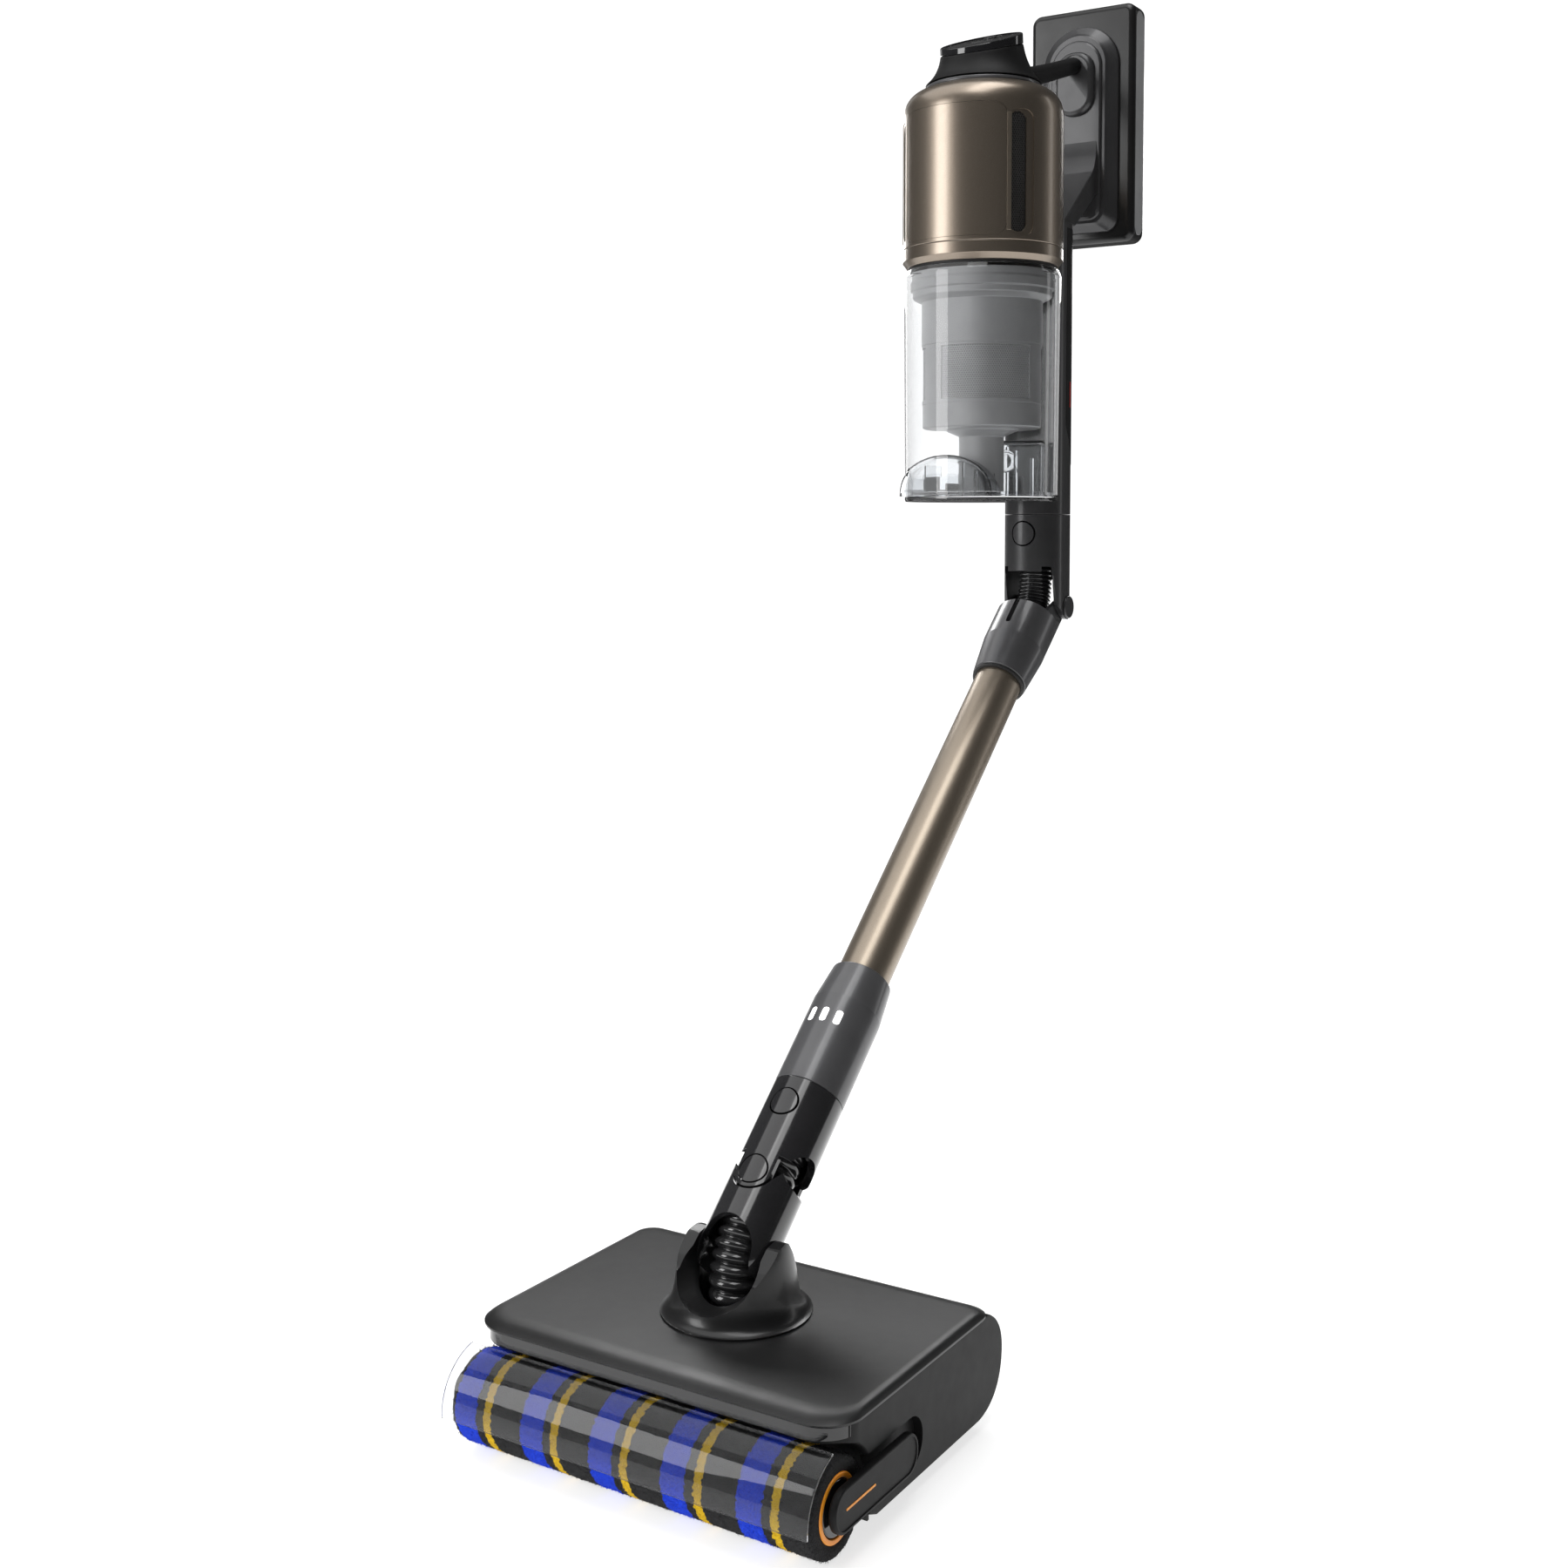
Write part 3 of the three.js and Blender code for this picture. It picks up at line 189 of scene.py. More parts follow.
def arc(x, y, radius, start, end, steps=24):
    """Points on an arc, with angles in degrees."""
    angles = np.radians(np.linspace(start, end, steps + 1))
    return [(x + radius * math.cos(a), y + radius * math.sin(a)) for a in angles]


def near(x, y, *offsets):
    """Outline points, each given by its distance from (x, y)."""
    return [(x + dx, y + dy) for dx, dy in offsets]


def bezier(points, steps=16):
    """A Bezier curve with any number of control points."""
    curve = []
    for t in np.linspace(0, 1, steps + 1):
        level = [np.array(point, float) for point in points]
        while len(level) > 1:
            level = [(1 - t) * a + t * b for a, b in zip(level, level[1:])]
        curve.append(tuple(level[0]))
    return curve


def unit(rows):
    """Each row scaled to length 1."""
    return rows / np.maximum(np.linalg.norm(rows, axis=1), 1e-9)[:, None]


def inset(outline, distance):
    """The outline moved inwards, corner by corner."""
    p = np.array(outline, float)
    area = np.sum(p[:, 0] * np.roll(p[:, 1], -1) - np.roll(p[:, 0], -1) * p[:, 1])
    before, after = unit(p - np.roll(p, 1, 0)), unit(np.roll(p, -1, 0) - p)
    normals = unit(np.stack([-(before[:, 1] + after[:, 1]), before[:, 0] + after[:, 0]], 1))
    share = np.maximum(0.5, -normals[:, 0] * after[:, 1] + normals[:, 1] * after[:, 0])
    return p + normals * (distance * np.sign(area) / share)[:, None]


# ---------------------------------------------------------------- meshes, in mm
SIDEWAYS = Matrix(((0, 0, 1, 0), (1, 0, 0, 0), (0, 1, 0, 0), (0, 0, 0, 1)))   # outline (y, z), swept along x
FORWARD = Matrix(((1, 0, 0, 0), (0, 0, 1, 0), (0, 1, 0, 0), (0, 0, 0, 1)))    # outline (x, z), swept along y


def linked(name, data):
    """A new object in the scene, around its data."""
    obj = bpy.data.objects.new(name, data)
    bpy.context.scene.collection.objects.link(obj)
    return obj


def plain(points, faces):
    """Mesh data just as it is given."""
    mesh = bpy.data.meshes.new("shape")
    mesh.from_pydata([tuple(point) for point in points], [], faces)
    return mesh


def solid(points, faces, place=None):
    """A scene object from plain mesh data, cleaned and with its faces turned outwards."""
    mesh = plain(points, faces)
    if place is not None:
        mesh.transform(place)
    made = bmesh.new()
    made.from_mesh(mesh)
    bmesh.ops.remove_doubles(made, verts=made.verts, dist=1e-4)
    bmesh.ops.dissolve_degenerate(made, edges=made.edges, dist=1e-4)
    bmesh.ops.recalc_face_normals(made, faces=made.faces)
    made.to_mesh(mesh)
    made.free()
    return linked("shape", mesh)


def skin(rings, closed=False, ends=(True, True), place=None):
    """Joins rings of points, each with the same count, with quads. closed joins the last ring to the first."""
    rings = [np.asarray(ring, float) for ring in rings]
    count = len(rings[0])
    faces = []
    for r in range(len(rings) if closed else len(rings) - 1):
        a, b = r * count, ((r + 1) % len(rings)) * count
        faces += [(a + i, a + (i + 1) % count, b + (i + 1) % count, b + i) for i in range(count)]
    if not closed:
        if ends[0]:
            faces.append(tuple(range(count)))
        if ends[1]:
            faces.append(tuple((len(rings) - 1) * count + i for i in range(count)))
    return solid(np.concatenate(rings), faces, place)


def lathe(profile, sides=160, place=None):
    """A profile of (radius, height) turned about z. It is closed when it doesn't start and end on the axis."""
    angles = np.linspace(0, 2 * math.pi, sides, endpoint=False)
    circle = np.stack([np.cos(angles), np.sin(angles), np.zeros(sides)], 1)
    rings = [circle * (r, r, 0) + (0, 0, z) for r, z in profile]
    on_axis = profile[0][0] < 1e-6 and profile[-1][0] < 1e-6
    return skin(rings, closed=not on_axis, ends=(False, False), place=place)


def ring(outer, inner, low, high, edge=0.4, sides=160, place=None):
    return lathe(rounded([(inner, low), (outer, low), (outer, high), (inner, high)], edge, 3), sides, place)


def prism(outline, low, high, edge=0.6, place=None, steps=3):
    """An outline swept from low to high, with rounded rims."""
    rings = []
    for k in range(steps + 1 if edge else 1):
        angle = math.pi / 2 * k / steps
        move, rise = edge * (1 - math.sin(angle)), edge * (1 - math.cos(angle))
        rings.append((move, low + rise))
    rings += [(move, low + high - z) for move, z in reversed(rings)]
    return skin([np.c_[inset(outline, move), np.full(len(outline), z)] for move, z in rings], place=place)


def disc(radius, low, high, edge=0.4, place=None, sides=96):
    return prism(arc(0, 0, radius, 0, 360 - 360 / sides, sides - 1), low, high, edge, place)


def block(x0, x1, y0, y1, z0, z1, edge=0):
    return prism(rectangle(x0, x1, y0, y1), z0, z1, edge)


def at(x=0, y=0, z=0):
    return Matrix.Translation((x, y, z))


def spin(degrees, axis="Z"):
    return Matrix.Rotation(math.radians(degrees), 4, axis)


def stud(radius, z, front, back, edge=0, sides=96):
    """A disc that faces forwards, at height z."""
    return disc(radius, front, back, edge, at(0, 0, z) @ FORWARD, sides)


def sweep(path, radii, sides):
    """A round bar along a path in the (y, z) plane, with a radius at each point."""
    path = np.array(path)
    angles = np.linspace(0, 2 * math.pi, sides, endpoint=False)
    rings = []
    for (y, z), (dy, dz), radius in zip(path, unit(np.gradient(path, axis=0)), radii):
        across = radius * np.sin(angles)
        rings.append(np.c_[radius * np.cos(angles), y - dz * across, z + dy * across])
    return skin(rings)


def apply_modifiers(obj):
    bpy.context.view_layer.update()
    graph = bpy.context.evaluated_depsgraph_get()
    mesh = bpy.data.meshes.new_from_object(obj.evaluated_get(graph))
    obj.modifiers.clear()
    obj.data = mesh
    return obj


def boolean(obj, tools, operation):
    for tool in tools:
        modifier = obj.modifiers.new("boolean", "BOOLEAN")
        modifier.operation = operation
        modifier.solver = "EXACT"
        modifier.object = tool
    apply_modifiers(obj)
    for tool in tools:
        bpy.data.objects.remove(tool)
    return obj


def cut(obj, *tools):
    return boolean(obj, tools, "DIFFERENCE")


def keep(obj, *tools):
    return boolean(obj, tools, "INTERSECT")


def together(*shapes):
    """Several closed shapes as one object, with nothing cut."""
    made = bmesh.new()
    for shape in shapes:
        made.from_mesh(shape.data)
        bpy.data.objects.remove(shape)
    mesh = bpy.data.meshes.new("shape")
    made.to_mesh(mesh)
    made.free()
    return linked("shape", mesh)


def moulded(obj, voxel, passes):
    """Melts overlapping shapes into one soft-edged moulding."""
    remesh = obj.modifiers.new("remesh", "REMESH")
    remesh.mode = "VOXEL"
    remesh.voxel_size = voxel
    smooth = obj.modifiers.new("smooth", "SMOOTH")
    smooth.factor = 0.5
    smooth.iterations = passes
    return apply_modifiers(obj)


def finished(obj, name, material, body, replaces=(), sharp=32, bevel=0.0, segments=3):
    """Names a shape, rounds its sharp edges, moves it from mm to its place and puts it on its body."""
    if bevel:
        modifier = obj.modifiers.new("bevel", "BEVEL")
        modifier.width = bevel
        modifier.segments = segments
        modifier.limit_method = "ANGLE"
        modifier.angle_limit = math.radians(38)
        apply_modifiers(obj)
    mesh = obj.data
    mesh.transform(PLACES.get(body, HAND))
    mesh.polygons.foreach_set("use_smooth", [True] * len(mesh.polygons))
    if sharp:
        mesh.set_sharp_from_angle(angle=math.radians(sharp))
        flats = obj.modifiers.new("flats", "WEIGHTED_NORMAL")
        flats.keep_sharp = True
        apply_modifiers(obj)
        mesh = obj.data
    mesh.materials.clear()
    mesh.materials.append(material)
    obj.name = name
    mesh.name = name
    if body:
        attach(obj, body)
    if replaces:
        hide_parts(*([replaces] if isinstance(replaces, str) else replaces))
    return obj


# ---------------------------------------------------------------- materials
class Nodes:
    """A node tree, with short calls to build it. An input given as a node's output is linked to it."""

    def __init__(self, tree):
        self.tree = tree

    def fill(self, node, inputs):
        for socket, value in inputs.items():
            if isinstance(value, bpy.types.NodeSocket):
                self.tree.links.new(value, node.inputs[socket])
            else:
                node.inputs[socket].default_value = value

    def new(self, kind, inputs, **settings):
        node = self.tree.nodes.new("ShaderNode" + kind)
        for key, value in settings.items():
            setattr(node, key, value)
        self.fill(node, inputs)
        return node

    def maths(self, operation, first, second=0.5, **settings):
        return self.new("Math", {0: first, 1: second}, operation=operation, **settings).outputs[0]

    def spread(self, value, low, high, start=0.3, end=0.7, **settings):
        inputs = {"Value": value, "From Min": start, "From Max": end, "To Min": low, "To Max": high}
        return self.new("MapRange", inputs, **settings).outputs["Result"]


class Look(Nodes):
    """A material around the Principled shader."""

    def __init__(self, name):
        self.material = bpy.data.materials.new(name)
        self.material.use_nodes = True
        super().__init__(self.material.node_tree)
        self.place = self.new("TexCoord", {}).outputs["Object"]

    def done(self, **inputs):
        """Sets the shader's inputs, written with _ for a space, and gives the material."""
        self.fill(self.tree.nodes["Principled BSDF"], {name.replace("_", " "): inputs[name] for name in inputs})
        return self.material

    def noise(self, scale, detail=2.0, stretch=None):
        source = self.place
        if stretch:
            source = self.new("Mapping", {"Vector": source, "Scale": stretch}).outputs["Vector"]
        return self.new("TexNoise", {"Vector": source, "Scale": scale, "Detail": detail}).outputs["Fac"]

    def mix(self, factor, first, second):
        first, second = [(*colour, 1) if isinstance(colour, tuple) else colour for colour in (first, second)]
        return self.new("Mix", {"Factor": factor, 6: first, 7: second}, data_type="RGBA").outputs[2]

    def bump(self, height, strength, distance=0.0002):
        inputs = {"Strength": strength, "Distance": distance, "Height": height}
        return self.new("Bump", inputs).outputs["Normal"]


def dimmed(colour, share):
    return tuple(c * share for c in colour)


def plastic(name, dark, light, rough, grain=0.0, coat=0.0, metal=0.0, shine=0.5):
    """Moulded plastic: slow colour drift, uneven gloss and, on matt parts, a fine sparkle texture."""
    n = Look(name)
    return n.done(Base_Color=n.mix(n.spread(n.noise(30, 3), 0, 1), dark, light),
                  Roughness=n.spread(n.noise(90, 3), rough - 0.02, rough + 0.02),
                  Normal=n.bump(n.noise(2600 if grain else 900), grain or 0.004),
                  Metallic=metal, Specular_IOR_Level=shine, Coat_Weight=coat, Coat_Roughness=0.04)


def lacquer(name, dark, light, rough, coat=0.35):
    """Metallic paint: fine flakes that vary colour and gloss under a thin clear coat."""
    n = Look(name)
    flakes = n.noise(5200, 1)
    return n.done(Base_Color=n.mix(n.spread(flakes, 0, 1, 0.35, 0.65), dark, light),
                  Roughness=n.spread(n.noise(3000), rough - 0.05, rough + 0.05),
                  Normal=n.bump(flakes, 0.05, 0.0001), Metallic=0.94, Coat_Weight=coat, Coat_Roughness=0.12)


def brushed(name, colour, rough):
    """Bare metal with fine turned lines."""
    n = Look(name)
    lines = n.noise(400, 3, stretch=(1, 1, 14))
    return n.done(Base_Color=n.mix(n.spread(lines, 0, 1), dimmed(colour, 0.8), colour),
                  Roughness=n.spread(lines, rough - 0.06, rough + 0.08), Normal=n.bump(lines, 0.05),
                  Metallic=1.0)


def clear(name, tint, bend):
    """Clear plastic with a faint tint. Its index is kept low, as a thin wall hardly bends the light."""
    n = Look(name)
    return n.done(Base_Color=n.mix(n.spread(n.noise(25), 0, 1), dimmed(tint, 0.98), tint),
                  Roughness=n.spread(n.noise(60, 3), 0.02, 0.04),
                  Transmission_Weight=1.0, IOR=bend, Coat_Weight=0.35, Coat_Roughness=0.02)


def glassy(name, tint):
    """Thick clear mouldings, with a real plastic's index and no coat."""
    n = Look(name)
    return n.done(Base_Color=n.mix(n.spread(n.noise(40), 0, 1), dimmed(tint, 0.97), tint),
                  Roughness=n.spread(n.noise(80), 0.02, 0.04), Transmission_Weight=1.0, IOR=1.45)


def lamp(name, colour, strength):
    n = Look(name)
    shade = n.mix(n.spread(n.noise(300), 0, 1), dimmed(colour, 0.93), colour)
    return n.done(Base_Color=shade, Emission_Color=shade, Emission_Strength=strength, Roughness=0.4)


def pile_material():
    """Plush roller: blue and yellow bands on black, repeated along the roller, with ragged borders."""
    n = Look("pile")
    x = n.new("SeparateXYZ", {0: n.place}).outputs["X"]
    ragged = n.maths("MULTIPLY", n.maths("SUBTRACT", n.noise(420, 3), 0.5), 0.0045)
    along = n.maths("ADD", n.maths("ADD", x, ROLLER_HALF / 1000), ragged)
    step = n.maths("FRACT", n.maths("DIVIDE", along, 2 * ROLLER_HALF / PILE_REPEATS / 1000))

    def band(start, end):
        return n.maths("MULTIPLY", n.maths("GREATER_THAN", step, start), n.maths("LESS_THAN", step, end))

    fibre = n.noise(1500)
    shade = n.spread(fibre, 0, 1, 0.25, 0.75)
    black = n.mix(shade, (0.001, 0.001, 0.001), (0.04, 0.04, 0.042))
    blue = n.mix(shade, (0.003, 0.014, 0.34), (0.014, 0.085, 1.0))
    yellow = n.mix(shade, (0.5, 0.30, 0.005), (1.0, 0.66, 0.02))
    striped = n.mix(band(0.5, 0.605), n.mix(band(0.06, 0.385), black, blue), yellow)
    return n.done(Base_Color=striped, Normal=n.bump(fibre, 1.0, 0.0012), Roughness=0.95,
                  Specular_IOR_Level=0.2, Sheen_Weight=0.03, Sheen_Roughness=0.5)


GLOSS = plastic("gloss_black", (0.006, 0.006, 0.0065), (0.010, 0.010, 0.011), 0.10, coat=0.5)
LINK = plastic("link_black", (0.012, 0.012, 0.013), (0.017, 0.017, 0.018), 0.15, coat=0.6)
MATTE = plastic("matte_black", (0.006, 0.006, 0.0062), (0.009, 0.009, 0.0093), 0.5, grain=0.06, shine=0.18)
CHARCOAL = plastic("satin_charcoal", (0.009, 0.009, 0.0093), (0.013, 0.013, 0.0134), 0.35, grain=0.06, metal=0.2)
GUNMETAL = plastic("gunmetal", (0.085, 0.085, 0.088), (0.10, 0.10, 0.104), 0.3, coat=0.3, metal=0.4)
DARKMETAL = plastic("dark_gunmetal", (0.050, 0.050, 0.0515), (0.060, 0.060, 0.062), 0.34, coat=0.2, metal=0.6)
SLAB = plastic("slab_black", (0.006, 0.006, 0.0062), (0.009, 0.009, 0.0093), 0.3)
CYCLONE = plastic("cyclone_grey", (0.38, 0.382, 0.388), (0.43, 0.432, 0.438), 0.38, grain=0.03, metal=0.25)
INLAY = plastic("inlay_grey", (0.24, 0.243, 0.247), (0.29, 0.293, 0.297), 0.4, grain=0.03)
RUBBER = plastic("rubber", (0.008, 0.008, 0.008), (0.014, 0.014, 0.014), 0.6, grain=0.12)
HOSE = plastic("hose", (0.009, 0.009, 0.0095), (0.013, 0.013, 0.0135), 0.18, coat=0.6)
ORANGE = plastic("orange_plastic", (0.95, 0.30, 0.010), (1.0, 0.38, 0.018), 0.4, coat=0.1)
RED = plastic("red_accent", (0.42, 0.02, 0.015), (0.55, 0.03, 0.02), 0.35)
FILTER = plastic("filter_media", (0.62, 0.60, 0.56), (0.78, 0.77, 0.73), 0.9, grain=0.4)
CELLS = plastic("cell_wrap", (0.012, 0.15, 0.25), (0.02, 0.20, 0.34), 0.3, coat=0.3)
LID = plastic("lid_smoke", (0.010, 0.010, 0.011), (0.016, 0.016, 0.017), 0.12, coat=0.5)
BRONZE = lacquer("bronze", (0.25, 0.205, 0.162), (0.34, 0.287, 0.234), 0.33)
BRONZE_TUBE = lacquer("bronze_tube", (0.30, 0.250, 0.196), (0.41, 0.350, 0.282), 0.36, coat=0.15)
YOKE = plastic("yoke_black", (0.006, 0.006, 0.0063), (0.009, 0.009, 0.0094), 0.3, coat=0.1)
STEEL = brushed("steel", (0.62, 0.62, 0.63), 0.24)
MESH = plastic("perforated_steel", (0.55, 0.55, 0.56), (0.66, 0.66, 0.67), 0.34, metal=0.25)
GRILLE = plastic("grille", (0.07, 0.068, 0.065), (0.10, 0.098, 0.095), 0.35, metal=0.7)
CLEAR = clear("clear_bin", (0.90, 0.905, 0.91), 1.3)
SHIELD = clear("clear_shield", (0.80, 0.805, 0.81), 1.22)
GLASSY = glassy("clear_moulding", (0.95, 0.96, 0.97))
WHITE = lamp("white_light", (1.0, 1.0, 1.0), 1.3)
PILE = pile_material()


# ---------------------------------------------------------------- floor head
PILL = rectangle(-17, 80, 20, 46, 12.9)   # the end caps, in (y, z)


def build_head_shell():
    """Rounded box with the roller's bay cut under its front, and the fixed cap on its left end."""
    low, side = BASE_LOW, HEAD_HALF - 3
    outline = [(-3, CREASE), *arc(0, ROLLER_R, BAY_R, 95, -30, 28), (41, low), (173, low)]
    outline += bezier([(173, low), (195, low + 2), (HEAD_REAR, 24), (HEAD_REAR, 45)])[1:]
    outline += bezier([(HEAD_REAR, 45), (HEAD_REAR, 60), (198, CREASE - 5), (184, CREASE)])[1:]
    shell = prism(outline, -side, side, 1.6, SIDEWAYS)
    plan = rounded([(-side, -3), (side, -3), (side, 260), (-side, 260)], [23, 23, 0.5, 0.5], 12)
    keep(shell, prism(plan, -20, 120, 0))
    pocket = prism(rectangle(-34, 96, 17, 49, 15.9), 128, 150, 0, SIDEWAYS)
    intake = block(-38, 38, 20, 60, 22, 46)
    wells = [block(x - 9, x + 9, WHEEL_Y - 16, WHEEL_Y + 20, 0, 32) for x in (WHEEL_X, -WHEEL_X)]
    cut(shell, pocket, intake, *wells)
    shell = together(shell, prism(PILL, -140, -HEAD_HALF + 2, 1.4, SIDEWAYS))
    finished(shell, "head_shell", MATTE, "floor_head", "head_base", bevel=0.5)


def build_head_cover():
    """Lid plate with large soft corners, whose rim rolls down all round."""
    x0, x1, y0, y1 = -HEAD_HALF, HEAD_HALF, -7, 186
    roll = 20
    steps = [0, 0.02, 0.05, 0.09, 0.15, 0.23, 0.35, 0.5, 0.75, 1]

    def loop(step, z):
        side, front, rear = 8 * step, roll * step, 13 * step
        corners = rectangle(x0 + side, x1 - side, y0 + front, y1 - rear)
        outline = rounded(corners, [26 - 8 * step, 26 - 8 * step, 14 - 5 * step, 14 - 5 * step], 12)
        return np.c_[outline, np.full(len(outline), z)]

    drop = COVER_TOP - CREASE - 2.2
    rings = [loop(0.06, CREASE + 0.3), loop(0.01, CREASE + 0.9)]
    rings += [loop(step, COVER_TOP - drop * (1 - step) ** 2.6) for step in steps]
    plate = skin(rings)
    cut(plate, disc(46, 60, 100, 0, at(0, NECK_Y)))
    finished(plate, "head_lid", CHARCOAL, "floor_head", "head_cover", sharp=50)
    seam = ring(47.2, 45.5, COVER_TOP - 0.6, COVER_TOP + 0.15, 0.1, place=at(0, NECK_Y))
    finished(seam, "yoke_seam", GLOSS, "floor_head")


def build_roller():
    """Plush sleeve with a soft lumpy surface, and short fibres that stand out of it."""
    rng = np.random.default_rng(7)
    rows, columns, bore = 230, 190, 19.9
    xs = np.linspace(-ROLLER_HALF, ROLLER_HALF, rows)
    angles = np.linspace(0, 2 * math.pi, columns, endpoint=False)
    lumps = rng.normal(0, 0.22, (rows, columns))
    swell = 1 - np.exp(-(ROLLER_HALF - np.abs(xs)) / 1.2)
    radii = ROLLER_R - 1.5 + lumps - 1.4 * (1 - swell)[:, None]

    def loop(x, r):
        return np.c_[np.full(columns, x), r * np.cos(angles), ROLLER_R + r * np.sin(angles)]

    loops = [loop(x, r) for x, r in zip(xs, radii)] + [loop(ROLLER_HALF, bore), loop(-ROLLER_HALF, bore)]
    sleeve = skin(loops, closed=True)
    finished(sleeve, "pile_sleeve", PILE, "roller", ("roller_pile", "roller_core"), sharp=0)

    count, width = 26000, 0.22
    root, limit = ROLLER_R - 2.0, ROLLER_R - 0.02
    x = rng.uniform(-ROLLER_HALF + 0.5, ROLLER_HALF - 0.5, count)
    a = rng.uniform(0, 2 * math.pi, count)
    length = rng.uniform(1.0, 2.1, count)
    base = np.stack([x, np.cos(a), np.sin(a)], 1)
    side = unit(rng.normal(0, 1, (3, count)).T)
    foot = base * (1, root, root)
    lean = rng.normal(0, 0.35, (count, 3))
    tip_r = np.minimum(root + length, limit)[:, None]
    tip = base * np.hstack([np.ones((count, 1)), tip_r, tip_r]) + lean * (0.9, 0.25, 0.25)
    tip[:, 1:] *= np.minimum(1, limit / np.hypot(tip[:, 1], tip[:, 2]))[:, None]
    tip[:, 0] = np.clip(tip[:, 0], -ROLLER_HALF, ROLLER_HALF)
    points = np.stack([foot - side * width, foot + side * width, tip], 1).reshape(-1, 3) + (0, 0, ROLLER_R)
    fibres = linked("fibres", plain(points, np.arange(3 * count).reshape(-1, 3).tolist()))
    finished(fibres, "pile_fibres", PILE, "roller", sharp=0)

    turned = at(0, 0, ROLLER_R) @ spin(90, "Y")
    orange = ring(19.7, 16.5, ROLLER_HALF - 4, ROLLER_HALF + 0.6, 0.8, 96, turned)
    finished(orange, "end_ring", ORANGE, "roller", "roller_end_ring")
    hub = near(0, ROLLER_HALF, (0, -14), (16.2, -14), (16.2, 0.4), (5, 0.4), (5, 3.4), (0, 3.4))
    hub = lathe(rounded(hub, [0, 0.4, 1.4, 0.5, 0.6, 0], 4), 96, turned)
    finished(hub, "idle_hub", GLOSS, "roller", "roller_idle_hub")


def build_shield():
    """Clear guard over the roller's upper front, with an upright band under the lid's lip."""
    outer = arc(0, ROLLER_R, SHIELD_R, 102, 184, 40)
    inner = arc(0, ROLLER_R, SHIELD_R - 1.8, 184, 102, 40)
    guard = prism([*outer, *inner], -ROLLER_HALF - 2, ROLLER_HALF + 2, 0.6, SIDEWAYS)
    finished(guard, "roller_guard", SHIELD, "floor_head", "roller_shield", sharp=40)
    half = HEAD_HALF - 3.2
    plan = rounded([(-half, -5), (half, -5), (half, 50), (-half, 50)], [24.8, 24.8, 1, 1], 10)
    band = prism(plan, 66, CREASE + 0.2, 0.4)
    finished(band, "guard_band", GLOSS, "floor_head")


def build_latch():
    """Pill-shaped end latch with a raised rim and a thin orange line."""
    pill = prism(PILL, 135, 140, 1.2, SIDEWAYS)
    cut(pill, prism(rectangle(-15, 78, 22, 44, 10.9), 139.3, 142, 0, SIDEWAYS))
    finished(pill, "end_latch", MATTE, "roller_latch", "roller_latch", bevel=0.25)
    line = prism(rectangle(-4, 29, 32.4, 33.8, 0.6, 4), 139.1, 139.55, 0.1, SIDEWAYS)
    finished(line, "latch_line", ORANGE, "roller_latch")


def build_wheels():
    outline = [(0, -12), (3, -12), (3, -7), (14, -7), (14, 7), (3, 7), (3, 12), (0, 12)]
    profile = rounded(outline, [0, 0.3, 0.5, 2.2, 2.2, 0.5, 0.3, 0], 4)
    for side, name in SIDES:
        wheel = lathe(profile, 72, at(side * WHEEL_X, WHEEL_Y, WHEEL_R) @ spin(90, "Y"))
        finished(wheel, f"wheel_{name}", RUBBER, f"wheel_{name}", f"rear_wheel_{name}")


def build_yoke():
    """Round flange and waisted collar with two ears, cut through by the neck's round tunnel."""
    top = COVER_TOP + 0.3
    profile = near(0, top, (0, 0), (49, 0), (49, 1.0))
    profile += bezier(near(0, top, (49, 1.0), (43.5, 2.4), (41.2, 7), (39.6, 18)), 20)[1:]
    profile += bezier(near(0, top, (39.6, 18), (38, 30), (36.8, 40), (34, 47.2)), 12)[1:]
    body = lathe(profile + near(0, top, (0, 47.2)), 192, at(0, NECK_Y))
    pivot = at(0, NECK_Y, NECK_Z) @ FORWARD
    swing = LINK_R + 0.7
    tunnel = disc(swing, -60, 60, 0, pivot, 128)
    mouth = block(-swing, swing, NECK_Y - 60, NECK_Y + 60, NECK_Z, NECK_Z + 40)
    bore = disc(24, 70, 121, 0, at(0, NECK_Y), 128)
    shoulder = [(-60, 104), (-24, 108), (-17, 115), (-4, 125.6), (5, 127.4), (10, 126), (15, 118), (20, 107),
                (27, 99), (60, 96), (60, 160), (-60, 160)]
    shoulder = rounded(shoulder, [0, 6, 8, 8, 3, 3, 8, 8, 8, 0, 0, 0], 6)
    trim = prism(near(NECK_Y, 0, *shoulder), -60, 60, 0, SIDEWAYS)
    flare = lathe([(0, -60), (31.5, -60), (31.5, -33), (swing, -10), (0, -10)], 128,
                  pivot @ Matrix.Diagonal((1, 0.83, 1, 1)))
    cut(body, tunnel, mouth, bore, trim, flare)
    finished(body, "neck_collar", YOKE, "floor_head", "neck_yoke", bevel=0.5, segments=2)


def ribbed(name, points, radius, ribs, depth, node):
    """A bellows along a curve in the (y, z) plane. It is placed in the floor head's frame and put on no body."""
    path = bezier(points, ribs * 14)
    wave = np.abs(np.sin(np.pi * np.linspace(0, ribs, len(path)))) ** 0.75
    hose = sweep(path, radius - depth * (1 - wave), 72)
    finished(hose, name, HOSE, None, node, sharp=0)
    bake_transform(hose)


def on_wand(w):
    return (NECK_Y + w * math.sin(LEAN), NECK_Z + w * math.cos(LEAN))


